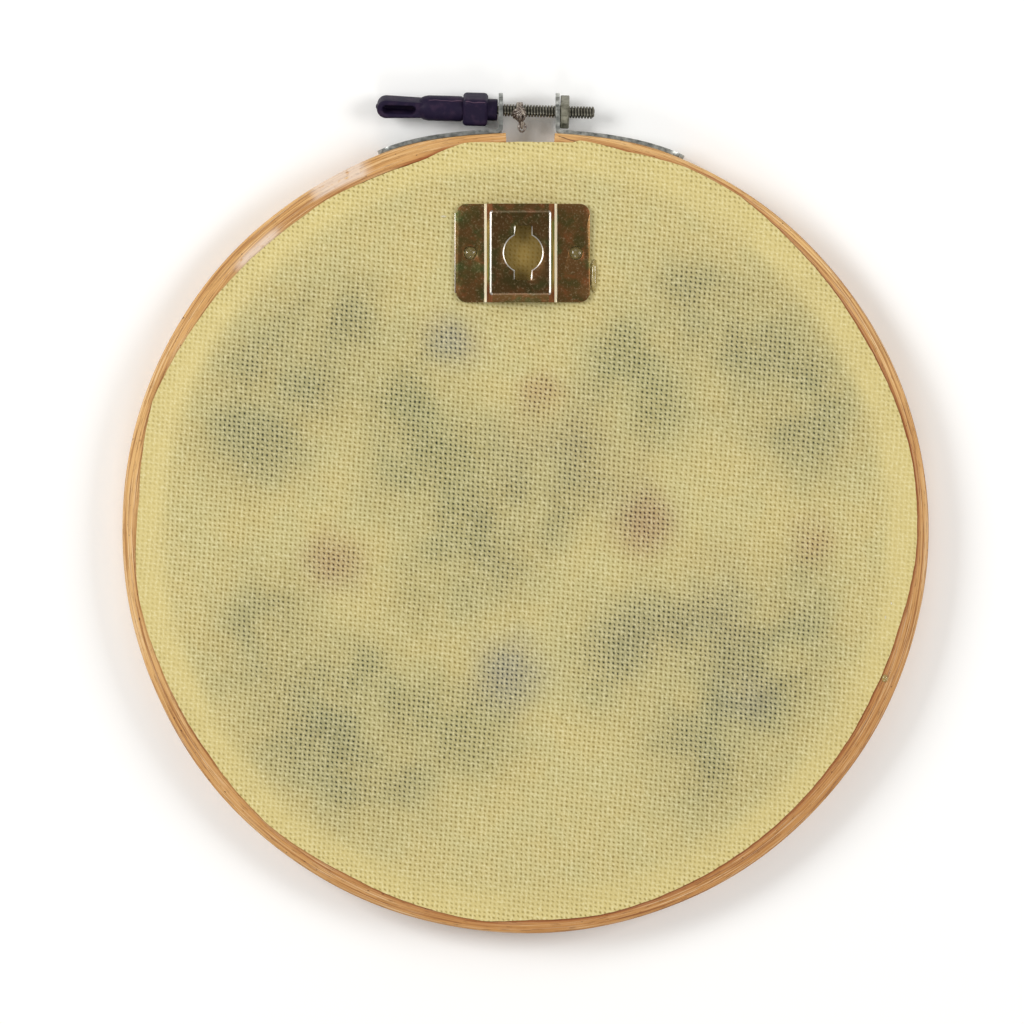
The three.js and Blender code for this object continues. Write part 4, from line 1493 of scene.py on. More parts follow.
@dataclass
class BackingCloth:
    """The thin non-woven glued over the back, hand cut, with soft puckers."""

    top: float = 11.3
    edge_top: float = 10.34
    thickness: float = 0.3
    bore: float = 89.8
    rings: int = 74
    sectors: int = 360
    sag: float = 1.1
    sag_radius: float = 70.0
    sag_y: float = -22.0
    plate: tuple[float, float, float, float] = (-0.5, 69.75, 16.8, 12.4)
    puckers: tuple[tuple[float, float, float, float], ...] = (
        (18, 52, 13, 0.55), (47, 60, 10, -0.5), (141, 56, 12, 0.6), (168, 48, 11, -0.55),
        (192, 58, 9, 0.5), (226, 44, 14, 0.6), (258, 54, 10, -0.5), (287, 46, 12, 0.55),
        (322, 56, 11, -0.6),
    )

    def relief(self, x: np.ndarray, y: np.ndarray) -> np.ndarray:
        """Sag, puckers and ripples, with none where the plate holds the cloth.

        Args:
            x: points' x.
            y: points' y.
        Returns:
            Height over the cloth's flat place.
        """
        angle, radius = np.degrees(np.arctan2(y, x)), np.hypot(x, y)
        reach = np.minimum(np.hypot(x, y - self.sag_y) / self.sag_radius, 1)
        height = -self.sag * (1 - reach ** 2) ** 2
        for middle, inner, half, rise in self.puckers:
            turn = np.mod(angle - middle + 180, 360) - 180
            across = np.minimum(np.abs(turn) / half, 1)
            along = np.clip((radius - inner) / (self.bore - inner), 0, 1)
            height += rise * (1 - across ** 2) ** 2 * np.sin(np.pi * along)
        wave = np.sin(x * 0.42 + 1.3 * np.sin(y * 0.11))
        ripple = 0.07 * wave * np.sin(y * 0.35 + 1.1 * np.sin(x * 0.13))
        plate_x, plate_y, half_width, half_height = self.plate
        across = np.maximum(np.abs(x - plate_x) - half_width, 0)
        along = np.maximum(np.abs(y - plate_y) - half_height, 0)
        distance = np.hypot(across, along)
        return height * smoothstep(distance, 10, 22) + ripple * smoothstep(distance, 1, 6)

    def build(self, embroidery: Embroidery) -> Piece:
        """Lay out the cloth in rings to its cut edge and mark what shows through.

        Args:
            embroidery: the stitching beneath.
        Returns:
            The cloth.
        """
        draw = random.Random(7)
        angles = np.arange(self.sectors) * 360 / self.sectors
        frays = np.array([draw.uniform(-0.07, 0.06) for _ in angles])
        edge = cut_edge(angles) + frays
        shares = (np.arange(self.rings) + 1) / self.rings
        radius = (shares[:, None] * edge[None, :]).ravel()
        turn = np.radians(np.tile(angles, self.rings))
        x, y = np.append(0, radius * np.cos(turn)), np.append(0, radius * np.sin(turn))
        radius = np.append(0, radius)
        fall = smoothstep(radius, 90.5, 96.6)
        height = self.top + self.relief(x, y) * (1 - fall) - (self.top - self.edge_top) * fall
        cloth = from_arrays(
            "backing_cloth", np.column_stack((x, y, height)), polar_faces(self.rings, self.sectors)
        )
        depth, colour = embroidery.show_through(x, y)
        over_rim = smoothstep(radius, 88.0, 94.5)
        # glue stain under the plate, also painted shade and warm reflected light from the plate's
        # underside
        from_plate = np.hypot(x - self.plate[0], (y - self.plate[1]) * 1.15)
        under_plate = 1 - smoothstep(from_plate, 8.0, 11.5)
        carry(cloth, "glue_stain_and_shade", "FLOAT", under_plate)
        carry(cloth, "show_depth", "FLOAT", depth * (1 - over_rim))
        carry(cloth, "show_colour", "FLOAT_COLOR", self.veiled(colour))
        carry(cloth, "over_rim", "FLOAT", over_rim)
        upright = np.abs(np.sin(np.append(0, turn)))
        bare = smoothstep(np.append(0, np.tile(edge, self.rings)) - radius, 3.4, 1.4)
        soaked = over_rim * (1 - 0.45 * upright ** 2) * (1 - 0.8 * upright * bare)
        carry(cloth, "soaked", "FLOAT", soaked)
        Bench.apply(cloth, "SOLIDIFY", thickness=self.thickness * MM, offset=-1)
        Bench.smooth(cloth, 50)
        return cloth

    @staticmethod
    def veiled(colour: np.ndarray) -> np.ndarray:
        """Thread colours as they look through the cloth."""
        veil = np.array(tint(131, 127, 88))
        return 0.62 * veil + 0.38 * colour

    def dress(self, cloth: Piece) -> None:
        """Args:
            cloth: the cloth.
        """
        dress(cloth, BondedCloth(), stands_for=["back_cloth"])


@dataclass
class KeyholePlate:
    """The pressed hanger plate: two flanges, a raised bridge and a keyhole."""

    x: float = -0.5
    y: float = 69.75
    z: float = 11.6
    width: float = 33.6
    height: float = 24.8
    sheet: float = 0.9
    corner: float = 2.6
    tab: float = 0.42
    tab_height: float = 20.2
    tab_lean: float = 24.0
    rise: float = 2.9
    bend: float = 0.36
    crease: float = 0.17
    lip: float = 2.3
    drop: float = 1.5
    hole: float = 4.85
    slot: float = 4.1
    slot_height: float = 13.8
    ease_width: float = 0.3
    ease_depth: float = 0.16
    ease_end: float = 0.1
    flange_ease: float = 0.15
    bridge_middle: float = -0.6
    bridge_reach: float = 8.5
    rivet_x: float = 13.3
    rivet: float = 1.7
    facets: int = 56
    bends: tuple[float, float, float, float] = (-9.5, -8.1, 6.7, 8.25)

    def side_view(self) -> list[Plan]:
        """Bend the sheet, as seen from its lower edge.

        Returns:
            Points of its middle, from left to right.
        """
        low, high = self.sheet / 2, self.rise + self.sheet / 2
        half = self.width / 2 + 1
        across = (-half, *self.bends, half)
        return rounded_path(list(zip(across, (low, low, high, high, low, low))), self.bend)

    def prism(self, name: str, width: float, height: float, corner: float) -> Piece:
        """Upright block with rounded corners that reaches through the plate.

        Args:
            name: the piece's name.
            width: its side along X.
            height: its side along Y.
            corner: radius of its corners, or 0.
        Returns:
            The block.
        """
        block = Bench.add("plane", name, size=1, location=(0, 0, -2 * MM))
        Bench.edit(block)
        bpy.ops.transform.resize(value=(width * MM, height * MM, 1))
        if corner:
            bpy.ops.mesh.bevel(offset=corner * MM, segments=8, affect="VERTICES")
        Bench.extrude(0, 0, 9)
        Bench.leave()
        Bench.close(block)
        return block

    def drill(self, plate: Piece, x: float, radius: float) -> None:
        """Cut a round hole through the plate."""
        drill = Bench.cylinder("drill", radius, 12, self.facets, location=(x * MM, 0, 2 * MM))
        Bench.combine(plate, drill)

    def flare(self, plate: Piece) -> None:
        """Ease the keyhole's upper edges, with cutters that widen towards the top.

        Args:
            plate: the plate.
        """
        height = (self.rise + self.sheet - self.ease_depth) * MM
        axis = (0, 0, 0)
        half_slot, half_height = self.slot / 2 / self.hole, self.slot_height / 2 / self.hole
        for sides, across, along in ((self.facets, 1.0, 1.0), (4, half_slot, half_height)):
            square = sides == 4
            reach = self.hole * (math.sqrt(2) if square else 1)
            cutter = Bench.disc("flare", reach, sides, location=(0, 0, height))
            Bench.settle(cutter)
            Bench.edit(cutter)
            if square:
                bpy.ops.transform.rotate(value=math.pi / 4, orient_axis="Z", center_override=axis)
            bpy.ops.transform.resize(value=(across, along, 1), center_override=axis)
            Bench.extrude(0, 0, 2 * self.ease_depth)
            grown = [1 + 2 * self.ease_width / (self.hole * share) for share in (across, along)]
            if square:
                grown[1] = 1 + self.ease_end / self.slot_height
            bpy.ops.transform.resize(value=(*grown, 1), center_override=axis)
            Bench.leave()
            Bench.close(cutter)
            Bench.combine(plate, cutter)

    def build(self) -> Piece:
        """Bend the sheet, trim its outline, cut its holes and ease its edges.

        Returns:
            The plate.
        """
        view = self.side_view()
        half, crease = self.height / 2, self.height / 2 - self.lip
        line = [*(crease + self.crease * step / 2 for step in range(-2, 3)), half + 1]
        ys = [-y for y in line[::-1]] + line
        rows = np.zeros((len(ys), len(view), 3))
        for i, y in enumerate(ys):
            eased = past = abs(y) - crease
            if past < self.crease:
                eased = max(past + self.crease, 0) ** 2 / (4 * self.crease)
            for j, (x, z) in enumerate(view):
                raised = (z - self.sheet / 2) / self.rise
                rows[i, j] = (x, y, z - self.drop * eased / self.lip * raised)
        plate = Bench.sheet("keyhole_plate", rows * MM)
        Bench.apply(plate, "SOLIDIFY", thickness=self.sheet * MM, offset=0)
        Bench.close(plate)
        outline = self.prism("outline", self.width, self.height, self.corner)
        Bench.combine(plate, outline, "INTERSECT")
        self.drill(plate, 0, self.hole)
        Bench.combine(plate, self.prism("slot", self.slot, self.slot_height, 0))
        self.flare(plate)
        for side in (-1, 1):
            self.drill(plate, side * self.rivet_x, self.rivet)
        Bench.close(plate)
        Bench.apply(plate, "DECIMATE", decimate_type="DISSOLVE", angle_limit=math.radians(0.4))
        Bench.ease(plate, self.flange_ease, lambda edge: self.on_flange(*Bench.ends(plate, edge)))
        plate = Bench.join("keyhole_plate", [plate, self.build_tab()])
        Bench.settle(plate, Matrix.Translation(Vector((self.x, self.y + HOOP_Y, self.z)) * MM))
        Bench.smooth(plate, 30)
        return plate

    def on_flange(self, first: Vector, second: Vector) -> bool:
        """Whether an edge lies round the top of a flange, clear of the bridge."""
        level = all(abs(end.z - self.sheet) < 0.004 for end in (first, second))
        return level and abs(first.x - self.bridge_middle) > self.bridge_reach

    def build_tab(self) -> Piece:
        """Make the thin burr along the plate's left edge.

        Returns:
            The burr.
        """
        place = Vector((-self.width / 2 - self.tab / 2 + 0.1, 0, self.sheet * 0.42))
        size = Vector((self.tab + 0.2, self.tab_height, self.sheet * 0.8))
        tab = Bench.block("tab", place, size)
        Bench.edit(tab)
        bpy.ops.mesh.bevel(offset=0.2 * MM, segments=2, affect="EDGES")
        Bench.select(tab, "FACE", lambda face: face.normal.z > 0.9 and face.area > 1e-6)
        lean = math.radians(self.tab_lean)
        bpy.ops.transform.rotate(value=lean, orient_axis="Y", center_override=place * MM)
        Bench.leave()
        return tab

    def dress(self, plate: Piece) -> None:
        """Give the plate its plating."""
        dress(plate, YellowZinc(), stands_for=["hanger_plate"])


@dataclass
class GlueSpots:
    """Set glue: domes in the flange holes, squeeze-out beside the plate and drops by the edge."""

    domes: tuple[tuple[float, ...], ...] = (
        (-13.8, 69.75, 11.9, 1.66, 1.66, 1.2),
        (12.8, 69.75, 11.9, 1.66, 1.66, 1.2),
    )
    drops: tuple[tuple[float, ...], ...] = (
        (17.3, 64.15, 11.3, 0.95, 4.3, 0.9),
        (90.6, -37.3, 10.2, 0.75, 1.0, 0.5),
    )
    flecks: tuple[tuple[float, ...], ...] = (
        (90.7, -21.9, 10.6, 0.36, 0.75, 0.35),
        (92.2, -18.4, 10.5, 0.3, 0.6, 0.3),
        (-20.5, 79.0, 11.25, 0.7, 0.3, 0.34),
        (-16.2, 79.6, 11.25, 0.3, 0.2, 0.24),
    )
    segments: int = 32
    rings: int = 20

    def build(self, name: str, places: Sequence[tuple[float, ...]]) -> Piece:
        """Flatten a ball for each place and cut it off below.

        Args:
            name: the piece's name.
            places: middle of the foot, half its width and length, and height.
        Returns:
            The drops as one piece.
        """
        made = []
        for number, (x, y, z, across, along, height) in enumerate(places):
            place = Vector((x, y + HOOP_Y, z)) * MM
            ball = {"segments": self.segments, "ring_count": self.rings, "radius": 1}
            drop = Bench.add("uv_sphere", f"drop_{number}", location=place, **ball)
            Bench.edit(drop)
            size = Vector((across, along, height)) * MM
            bpy.ops.transform.resize(value=size, center_override=place)
            bpy.ops.mesh.bisect(
                plane_co=place, plane_no=(0, 0, 1), threshold=DOUBLES, clear_inner=True, use_fill=True
            )
            Bench.leave()
            Bench.settle(drop)
            self.slump(drop, number)
            made.append(drop)
        spots = Bench.join(name, made)
        Bench.smooth(spots, 60)
        return spots

    @staticmethod
    def slump(drop: Piece, number: int) -> None:
        """Make a drop's outline a little uneven.

        Args:
            drop: the drop.
            number: its number, which sets its waves.
        """
        points = coordinates(drop)
        middle = points.mean(axis=0)
        away = points - middle
        turn = np.arctan2(away[:, 1], away[:, 0])
        swell = 1 + 0.05 * np.sin(2 * turn + number) + 0.04 * np.sin(3 * turn + 2 * number)
        away[:, :2] *= swell[:, None]
        move(drop, middle + away)

    def dress(self, domes: Piece, drops: Piece, flecks: Piece) -> None:
        """Give domes, drops and flecks their glue, which looks paler on the cloth.

        Args:
            domes: glue in the flange holes.
            drops: glue beside the plate and at the edge.
            flecks: dried glue, painted near white; by the plate's left edge they stand for a
                highlight.
        """
        dress(domes, ClearGlue(), stands_for=["glue_rivet_left", "glue_rivet_right"])
        pale = ClearGlue("pale_glue", tint(184, 164, 98), tint(218, 204, 152))
        dress(drops, pale, stands_for=["glue_bead"])
        # dried glue flecks painted near white, partly as painted highlight
        dress(flecks, ClearGlue("dried_glue_and_highlight", tint(238, 232, 208), tint(250, 247, 234)))


SCREW_PLACE = Vector((0, 105.9 + HOOP_Y, 5.0)) * MM
SCREW_LEAN = math.radians(1.7)
CLAMP = Matrix.Translation(SCREW_PLACE) @ Matrix.Rotation(-SCREW_LEAN, 4, "Z")
FROM_AXIS = Matrix.Translation((0, -HOOP_Y * MM, 0))


@dataclass
class ClampStraps:
    """The two bent straps on the hoop's ends, whose ears the screw passes."""

    rings: WoodenRings = field(default_factory=WoodenRings)
    sheet: float = 1.05
    half_width: float = 4.0
    bend: float = 1.3
    seat: float = 0.06
    ear_tip: float = 110.4
    ear_hole: float = 2.05
    middle: float = 5.0
    rounding: float = 0.3
    left: Plan = (-6.12, 111.3)
    right: Plan = (8.22, 66.9)

    def line(self, ear_x: float, end_angle: float) -> np.ndarray:
        """Middle of a strap in plan, from the ear's tip to its far end.

        Args:
            ear_x: the ear's place across the hoop.
            end_angle: angle of the far end, in degrees.
        Returns:
            Rows of x, y, the way come so far and the way left.
        """
        def lie(angle: float) -> float:
            """Radius of the strap's middle."""
            return float(self.rings.outer_radius(angle)) + self.seat + self.sheet / 2
        side = math.copysign(1, ear_x)
        start_x = ear_x + side * self.bend
        start = math.degrees(math.acos(start_x / lie(90)))
        foot_y = lie(start) * math.sin(math.radians(start))
        points = [(ear_x, self.ear_tip), (ear_x, foot_y + self.bend)]
        for share in (0.2, 0.4, 0.6, 0.8, 1.0):
            upper = Vector((ear_x, foot_y + self.bend)).lerp(Vector((ear_x, foot_y)), share)
            lower = Vector((ear_x, foot_y)).lerp(Vector((start_x, foot_y)), share)
            point = upper.lerp(lower, share)
            points.append((point.x, point.y))
        for angle in np.linspace(start, end_angle, 40)[1:]:
            turn = math.radians(angle)
            points.append((lie(angle) * math.cos(turn), lie(angle) * math.sin(turn)))
        path = np.array(points)
        way = np.append(0, np.cumsum(np.linalg.norm(np.diff(path, axis=0), axis=1)))
        turns = np.linspace(0.06, math.pi / 2, 8)
        cap = self.half_width * (1 - np.cos(turns))
        bending = np.arange(8.0, 13.0, 0.3)
        straight = np.arange(13.0, way[-1] - self.half_width - 0.4, 0.9)
        flat = np.arange(self.half_width + 0.5, 8.0, 0.5)
        stops = np.concatenate((cap, flat, bending, straight, way[-1] - cap[::-1]))
        x, y = (np.interp(stops, way, places) for places in path.T)
        return np.column_stack((x, y, stops, way[-1] - stops))

    def build(self, name: str, ear_x: float, end_angle: float) -> Piece:
        """Bend one strap and drill its ear.

        Args:
            name: the piece's name.
            ear_x: the ear's place across the hoop.
            end_angle: angle of the strap's far end, in degrees.
        Returns:
            The strap.
        """
        line = self.line(ear_x, end_angle)
        across = np.sin(np.linspace(-math.pi / 2, math.pi / 2, 9))
        rows = np.zeros((len(line), len(across), 3))
        for i, (x, y, begun, left) in enumerate(line):
            short = max(self.half_width - min(begun, left), 0)
            half = math.sqrt(self.half_width ** 2 - short ** 2)
            for j, share in enumerate(across):
                rows[i, j] = (x, y + HOOP_Y, self.middle + share * half)
        strap = Bench.sheet(name, rows * MM)
        Bench.apply(strap, "SOLIDIFY", thickness=self.sheet * MM, offset=0)
        Bench.close(strap)
        drill = Bench.cylinder("drill", self.ear_hole, 6, 40, rotation=ALONG_X)
        Bench.settle(drill, CLAMP @ Matrix.Translation((ear_x * MM, 0, 0)))
        Bench.combine(strap, drill)
        Bench.round_off(strap, self.rounding, 3)
        Bench.smooth(strap, 35)
        return strap

    def dress(self, strap: Piece, node: str, bright: Colour) -> None:
        """Give a strap its steel."""
        steel = PlatedSteel(f"{strap.name}_steel", bright, tint(112, 115, 112), roughness=0.2)
        dress(strap, steel, stands_for=[node])


@dataclass
class ClampScrew:
    """The threaded rod with its moulded handle, the square nut and the tied thread."""

    radius: float = 1.55
    root: float = 1.08
    core: float = 1.04
    pitch: float = 0.742
    start: float = -21.6
    thread_start: float = -6.14
    turns: int = 31
    end: float = 17.5
    nut_side: float = 6.6
    nut_start: float = 8.86
    nut_thickness: float = 2.28
    nut_bore: float = 1.62
    nut_rounding: float = 0.28
    nut_turn: float = 24.0
    neck: float = 2.75
    neck_end: float = -6.945
    collar: tuple[float, float] = (-15.7, -9.4)
    collar_side: float = 7.2
    collar_corner: float = 1.5
    collar_rounding: float = 1.0
    body: float = 3.2
    body_start: float = -27.2
    eye_start: float = -37.4
    eye_half: float = 2.4
    eye_root: float = 2.05
    eye_thickness: float = 4.5
    eye_rounding: float = 0.45
    slot: tuple[float, float] = (-36.0, -27.6)
    slot_half: float = 1.1
    slot_floor: float = 1.4
    handle_turn: float = 24.0
    knot_x: float = -1.4

    @staticmethod
    def turned(name: str, rows: Sequence[Plan], sides: int) -> Piece:
        """Round body along X, extruded from a disc.

        Args:
            name: the piece's name.
            rows: place and radius of each step.
            sides: sides of the disc.
        Returns:
            The body.
        """
        x, radius = rows[0]
        piece = Bench.disc(name, radius, sides, location=(x * MM, 0, 0), rotation=ALONG_X)
        Bench.settle(piece)
        Bench.edit(piece)
        for (x0, r0), (x1, r1) in zip(rows, rows[1:]):
            Bench.extrude(x1 - x0, 0, 0)
            bpy.ops.transform.resize(value=(1, r1 / r0, r1 / r0), center_override=(x1 * MM, 0, 0))
        Bench.leave()
        Bench.close(piece)
        return piece

    def build_rod(self) -> Piece:
        """Wind the thread's section along the rod, over its core.

        Returns:
            The rod.
        """
        shank = [(self.start, self.core), (self.end - 0.5, self.core)]
        tip = [(self.end - 0.45, 1.3), (self.end, 0.95)]
        core = self.turned("core", shank + tip, 32)
        thread = Bench.add("plane", "thread", size=MM)
        Bench.edit(thread)
        bpy.ops.mesh.merge(type="CENTER")
        bpy.ops.transform.translate(value=(self.thread_start * MM, 0, self.root * MM))
        deep = self.radius - self.root
        for along, out in ((0.1, 0), (0.16, deep), (0.5, 0), (0.16, -deep), (0.08, 0)):
            Bench.extrude(along * self.pitch, 0, out)
        Bench.leave()
        Bench.apply(
            thread, "SCREW", axis="X", steps=22, render_steps=22, iterations=self.turns,
            screw_offset=self.pitch * MM, use_merge_vertices=True, merge_threshold=DOUBLES,
        )
        Bench.close(thread)
        rod = Bench.join("threaded_rod", [core, thread])
        points = coordinates(rod) / MM
        reach = np.hypot(points[:, 1], points[:, 2])
        in_groove = (points[:, 0] > self.thread_start) & (points[:, 0] < self.end - 0.6)
        # painted shade: how deep each point lies in the thread's groove
        sunk = 1 - smoothstep(reach, self.root + 0.02, self.radius - 0.05)
        carry(rod, "groove", "FLOAT", in_groove * sunk)
        Bench.settle(rod, CLAMP)
        Bench.smooth(rod, 50)
        return rod

    def build_nut(self) -> Piece:
        """Bore a square block and ease its edges.

        Returns:
            The nut.
        """
        place = Vector((self.nut_start + self.nut_thickness / 2, 0, 0))
        size = Vector((self.nut_thickness, self.nut_side, self.nut_side))
        nut = Bench.block("square_nut", place, size)
        bore = Bench.cylinder("bore", self.nut_bore, 8, 40, location=place * MM, rotation=ALONG_X)
        Bench.combine(nut, bore)
        Bench.round_off(nut, self.nut_rounding, 3)
        Bench.settle(nut, self.on_clamp(self.nut_turn))
        Bench.smooth(nut, 35)
        return nut

    @staticmethod
    def on_clamp(turn: float) -> Matrix:
        """Place on the screw's line, turned about it by degrees."""
        return CLAMP @ Matrix.Rotation(math.radians(turn), 4, "X")

    @staticmethod
    def stadium(name: str, ends: Plan, halves: Plan, tall: float) -> Piece:
        """Bar with round ends: a short cylinder with one half moved along X.

        Args:
            name: the piece's name.
            ends: places of its far and near ends.
            halves: half its width at each.
            tall: its thickness.
        Returns:
            The bar.
        """
        (far, near), (half, near_half) = ends, halves
        centre = ((far + half) * MM, 0, 0)
        bar = Bench.cylinder(name, half, tall, 56, location=centre)
        Bench.settle(bar)
        middle = float(coordinates(bar)[:, 0].mean())
        Bench.edit(bar)
        Bench.select(bar, "VERT", lambda vertex: vertex.co.x > middle)
        bpy.ops.transform.resize(value=(1, near_half / half, 1), center_override=centre)
        bpy.ops.transform.translate(value=((near - half - far - half) * MM, 0, 0))
        Bench.leave()
        return bar

    def build_handle(self) -> Piece:
        """Extrude the stem, and add the collar, the slotted eye and its nub.

        Returns:
            The handle.
        """
        collar_start, collar_end = self.collar
        rows = [
            (self.neck_end, self.neck - 0.25), (self.neck_end - 0.2, self.neck),
            (collar_end, self.neck), (collar_start - 0.1, self.body - 0.25),
            (collar_start - 0.5, self.body), (-20.0, self.body + 0.03), (-24.4, self.body),
            (-25.6, self.body - 0.25), (-26.6, self.body - 0.8), (self.body_start, 1.7),
        ]
        stem = self.turned("stem", rows, 48)
        place = Vector(((collar_start + collar_end) / 2, 0, 0))
        size = Vector((collar_end - collar_start, self.collar_side, self.collar_side))
        collar = Bench.block("collar", place, size)
        Bench.edit(collar)
        Bench.select(collar, "EDGE", lambda edge: self.runs_along(*Bench.ends(collar, edge)))
        bpy.ops.mesh.bevel(offset=self.collar_corner * MM, segments=6, affect="EDGES")
        Bench.leave()
        Bench.round_off(collar, self.collar_rounding, 5)
        ends = (self.eye_start, self.body_start + 1.5 + self.eye_root)
        eye = self.stadium("eye", ends, (self.eye_half, self.eye_root), self.eye_thickness)
        window = self.stadium("window", self.slot, (self.slot_half,) * 2, 2 * self.eye_thickness)
        lift = (self.eye_thickness - self.slot_floor) * MM
        Bench.settle(window, Matrix.Translation((0, 0, lift)))
        Bench.combine(eye, window)
        Bench.round_off(eye, self.eye_rounding, 4)
        tip = self.eye_start
        nub = self.turned("nub", [(tip + 0.4, 0.75), (tip - 0.12, 0.62), (tip - 0.28, 0.3)], 20)
        handle = Bench.join("moulded_handle", [stem, collar, eye, nub])
        Bench.settle(handle, self.on_clamp(self.handle_turn))
        Bench.smooth(handle, 40)
        return handle

    @staticmethod
    def runs_along(first: Vector, second: Vector) -> bool:
        """Whether an edge runs along the screw."""
        return abs(first.x - second.x) > 2

    def build_seam(self) -> Piece:
        """Draw the fine raised parting line along the handle's body and collar.

        Returns:
            The line, as one piece.
        """
        strands = Strands(6)
        collar_start, collar_end = self.collar
        corner = (self.collar_side / 2 - self.collar_corner) * math.sqrt(2) + self.collar_corner
        runs = (
            (self.body_start + 2.8, collar_start - 0.1, self.body, 31.0),
            (collar_start + 0.6, collar_end - 0.6, corner, 45.0),
        )
        for side in (0.0, 180.0):
            for start, end, reach, facing in runs:
                path = []
                for x in np.linspace(start, end, 22):
                    turn = math.radians(side + facing + 1.5 * math.sin(x * 0.9) + math.sin(x * 2.3))
                    path.append((float(x), reach * math.cos(turn), reach * math.sin(turn)))
                strands.add(path, 0.1, tint(96, 70, 80), 0.5)
        seam = strands.mesh("parting_line")
        Bench.settle(seam, self.on_clamp(self.handle_turn) @ FROM_AXIS)
        return seam

    def build_thread(self) -> Piece:
        """Wind the tied thread: turns round the screw, a tangled knot and a looped tail.

        Returns:
            The thread.
        """
        draw = random.Random(21)
        strands = Strands(6)
        brown, silver = tint(72, 50, 38), tint(152, 138, 122)
        for number in range(4):
            x = self.knot_x + (number - 1.5) * 0.34
            reach = 1.86 + draw.uniform(0, 0.12)
            path = [
                (x + 0.1 * math.sin(3 * turn), reach * math.cos(turn), reach * math.sin(turn))
                for turn in np.linspace(0, TAU, 33)
            ]
            strands.add(path, 0.27, brown if number % 2 else silver)
        heart = Vector((self.knot_x, -1.0, 2.3))
        for number in range(26):
            axis = Vector((draw.gauss(0, 1), draw.gauss(0, 1), draw.gauss(0, 1))).normalized()
            first = axis.orthogonal().normalized()
            second = axis.cross(first)
            reach, lift = draw.uniform(1.2, 1.85), draw.uniform(-0.5, 0.5)
            start, sweep = draw.uniform(0, TAU), draw.uniform(3.0, 5.4)
            path = []
            for step in range(15):
                turn = start + sweep * step / 14
                swung = first * math.cos(turn) + second * math.sin(turn)
                point = heart + axis * lift + swung * reach
                path.append((point.x, point.y, point.z))
            strands.add(path, 0.24, silver if number % 3 == 0 else brown, 0.6)
        tail_end = Vector((self.knot_x + 0.75, -4.7, 1.2))
        for number in range(6):
            offset = Vector([draw.uniform(-reach, reach) for reach in (0.5, 0.2, 0.3)])
            swing = draw.uniform(-0.5, 0.5)
            path = []
            for step in range(9):
                share = step / 8
                bulge = math.sin(math.pi * share)
                point = heart.lerp(tail_end, share) + offset * bulge
                path.append((point.x + swing * share * (1 - share), point.y, point.z + 0.3 * bulge))
            strands.add(path, 0.22, brown if number % 2 else silver, 0.6)
        for wide, tall in ((0.95, 1.15), (0.7, 1.3)):
            middle = tail_end + Vector((0, 0.5, wide / 2))
            loop = [
                (middle.x + wide * math.sin(turn), middle.y + tall * math.cos(turn), middle.z)
                for turn in np.linspace(0, TAU, 19)
            ]
            strands.add(loop, 0.2, brown)
        thread = strands.mesh("tied_thread")
        Bench.settle(thread, CLAMP @ FROM_AXIS)
        return thread

    def dress(self, rod: Piece, nut: Piece, handle: Piece) -> None:
        """Give rod, nut and handle their finishes.

        Args:
            rod: the rod.
            nut: the nut.
            handle: the handle.
        """
        rod_steel = PlatedSteel(
            "screw_steel", tint(142, 139, 126), tint(96, 92, 80), roughness=0.28
        )
        nut_steel = PlatedSteel("nut_steel", tint(156, 154, 138), tint(100, 98, 84))
        dress(rod, rod_steel, Body.SCREW, ["screw_rod"])
        dress(nut, nut_steel, Body.NUT, ["clamp_nut"])
        dress(handle, MouldedPlastic(), Body.SCREW, ["screw_handle"])

    def dress_threads(self, seam: Piece, thread: Piece) -> None:
        """Give the parting line and the tied thread their finishes.

        Args:
            seam: the parting line.
            thread: the thread.
        """
        seam_colour = MouldedPlastic("parting_line", tint(88, 68, 86), tint(108, 84, 100))
        dress(seam, seam_colour, Body.SCREW)
        dress(thread, MetallicThread(), Body.SCREW, ["thread_knot"])


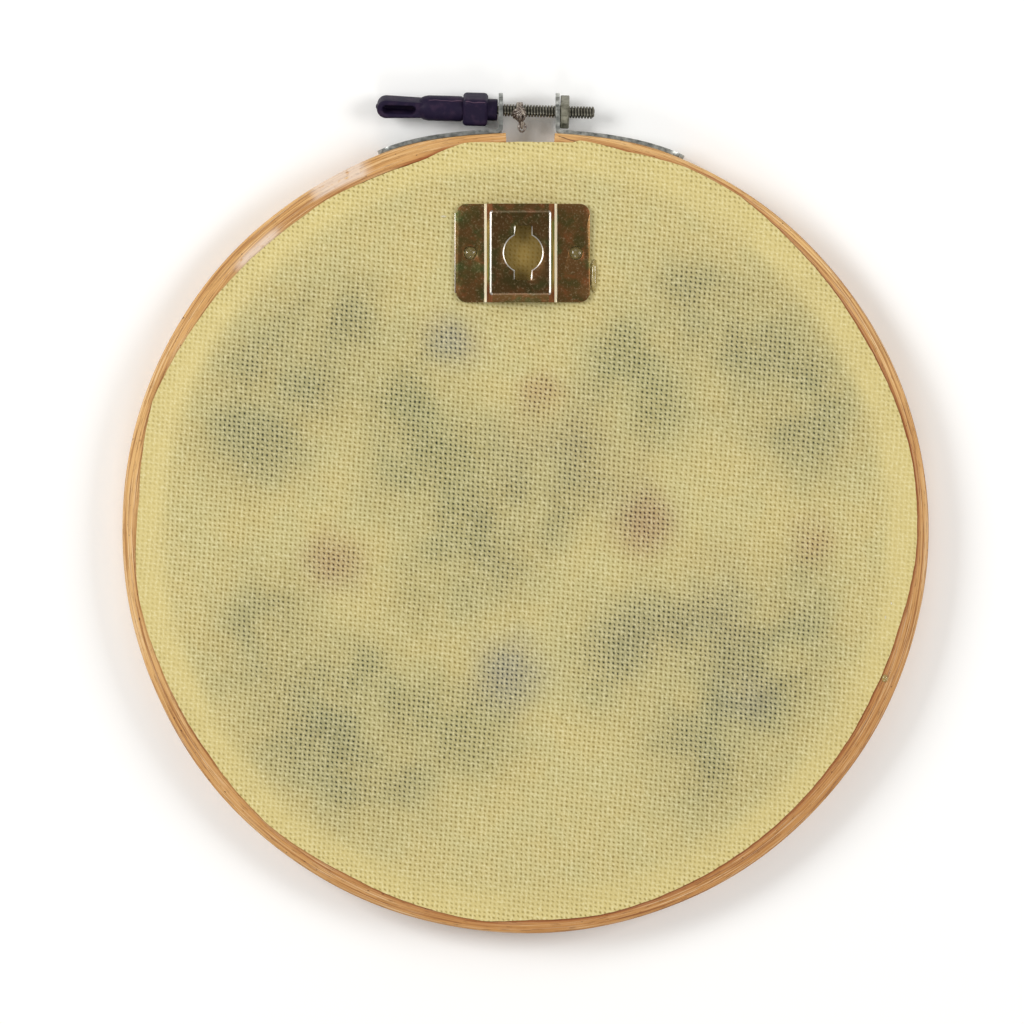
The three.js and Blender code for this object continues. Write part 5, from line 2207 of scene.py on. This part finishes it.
@dataclass
class Studio:
    """Pale floor, soft light from both sides and a camera straight above."""

    centre: tuple[float, float] = (-3.3, 0.19)
    framed_width: float = 257.97
    framed_height: float = 10.0
    distance: float = 2200.0
    sensor: float = 36.0
    floor_side: float = 8.0
    floor_drop: float = 0.0001
    lamps: tuple[tuple[str, Point, float, float], ...] = (
        ("left_softbox", (-900, 350, 850), 560, 8.2),
        ("right_softbox", (950, 150, 850), 560, 6.2),
        ("far_strip", (0, 1000, 1000), 420, 1.1),
        ("near_strip", (0, -1000, 1000), 420, 2.2),
    )

    def build(self) -> None:
        """Make the floor, the lights and the camera."""
        floor = Bench.add("plane", "floor", size=self.floor_side, location=(0, 0, -self.floor_drop))
        Bench.edit(floor)
        bpy.ops.mesh.subdivide(number_cuts=3)
        Bench.leave()
        Bench.settle(floor)
        shader = Shader("pale_floor")
        floor.data.materials.append(shader.finish(Base_Color=tint(252, 252, 251), Roughness=0.9))
        for name, place, size, power in self.lamps:
            light = bpy.data.lights.new(name, "AREA")
            light.shape = "SQUARE"
            light.size = size * MM
            light.energy = power
            lamp = bpy.data.objects.new(name, light)
            lamp.location = Vector(place) * MM
            lamp.rotation_euler = (-lamp.location).to_track_quat("-Z", "Y").to_euler()
            bpy.context.collection.objects.link(lamp)
        self.light_world()
        self.aim()

    @staticmethod
    def light_world() -> None:
        """Soft, faintly warm surround."""
        world = bpy.data.worlds.new("studio")
        world.use_nodes = True
        bpy.context.scene.world = world
        background = world.node_tree.nodes["Background"]
        background.inputs["Color"].default_value = (1.0, 0.985, 0.955, 1.0)
        background.inputs["Strength"].default_value = 0.42

    def aim(self) -> None:
        """Put the camera over the middle of the picture."""
        camera = bpy.data.cameras.new("camera")
        camera.sensor_width = self.sensor
        camera.lens = self.sensor * self.distance / self.framed_width
        camera.clip_start, camera.clip_end = 0.01, 20
        viewer = bpy.data.objects.new("camera", camera)
        viewer.location = Vector((*self.centre, self.framed_height + self.distance)) * MM
        bpy.context.collection.objects.link(viewer)
        bpy.context.scene.camera = viewer
        bpy.context.scene.view_settings.view_transform = "Standard"


def main() -> None:
    """Build and dress every sub-assembly."""
    logging.basicConfig(level=logging.INFO, format="%(message)s")
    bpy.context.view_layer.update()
    Studio().build()
    rings = WoodenRings()
    rings.dress(rings.build())
    embroidery = Embroidery()
    ground = GroundCloth()
    ground.dress(ground.build())
    embroidery.dress(embroidery.build())
    backing = BackingCloth()
    backing.dress(backing.build(embroidery))
    plate = KeyholePlate()
    plate.dress(plate.build())
    glue = GlueSpots()
    kinds = ("domes", "drops", "flecks")
    glue.dress(*(glue.build(f"glue_{kind}", getattr(glue, kind)) for kind in kinds))
    straps = ClampStraps()
    straps.dress(straps.build("left_strap", *straps.left), "strap_left", tint(180, 182, 178))
    straps.dress(straps.build("right_strap", *straps.right), "strap_right", tint(206, 207, 200))
    clamp = ClampScrew()
    clamp.dress(clamp.build_rod(), clamp.build_nut(), clamp.build_handle())
    clamp.dress_threads(clamp.build_seam(), clamp.build_thread())


if __name__ == "__main__":
    main()
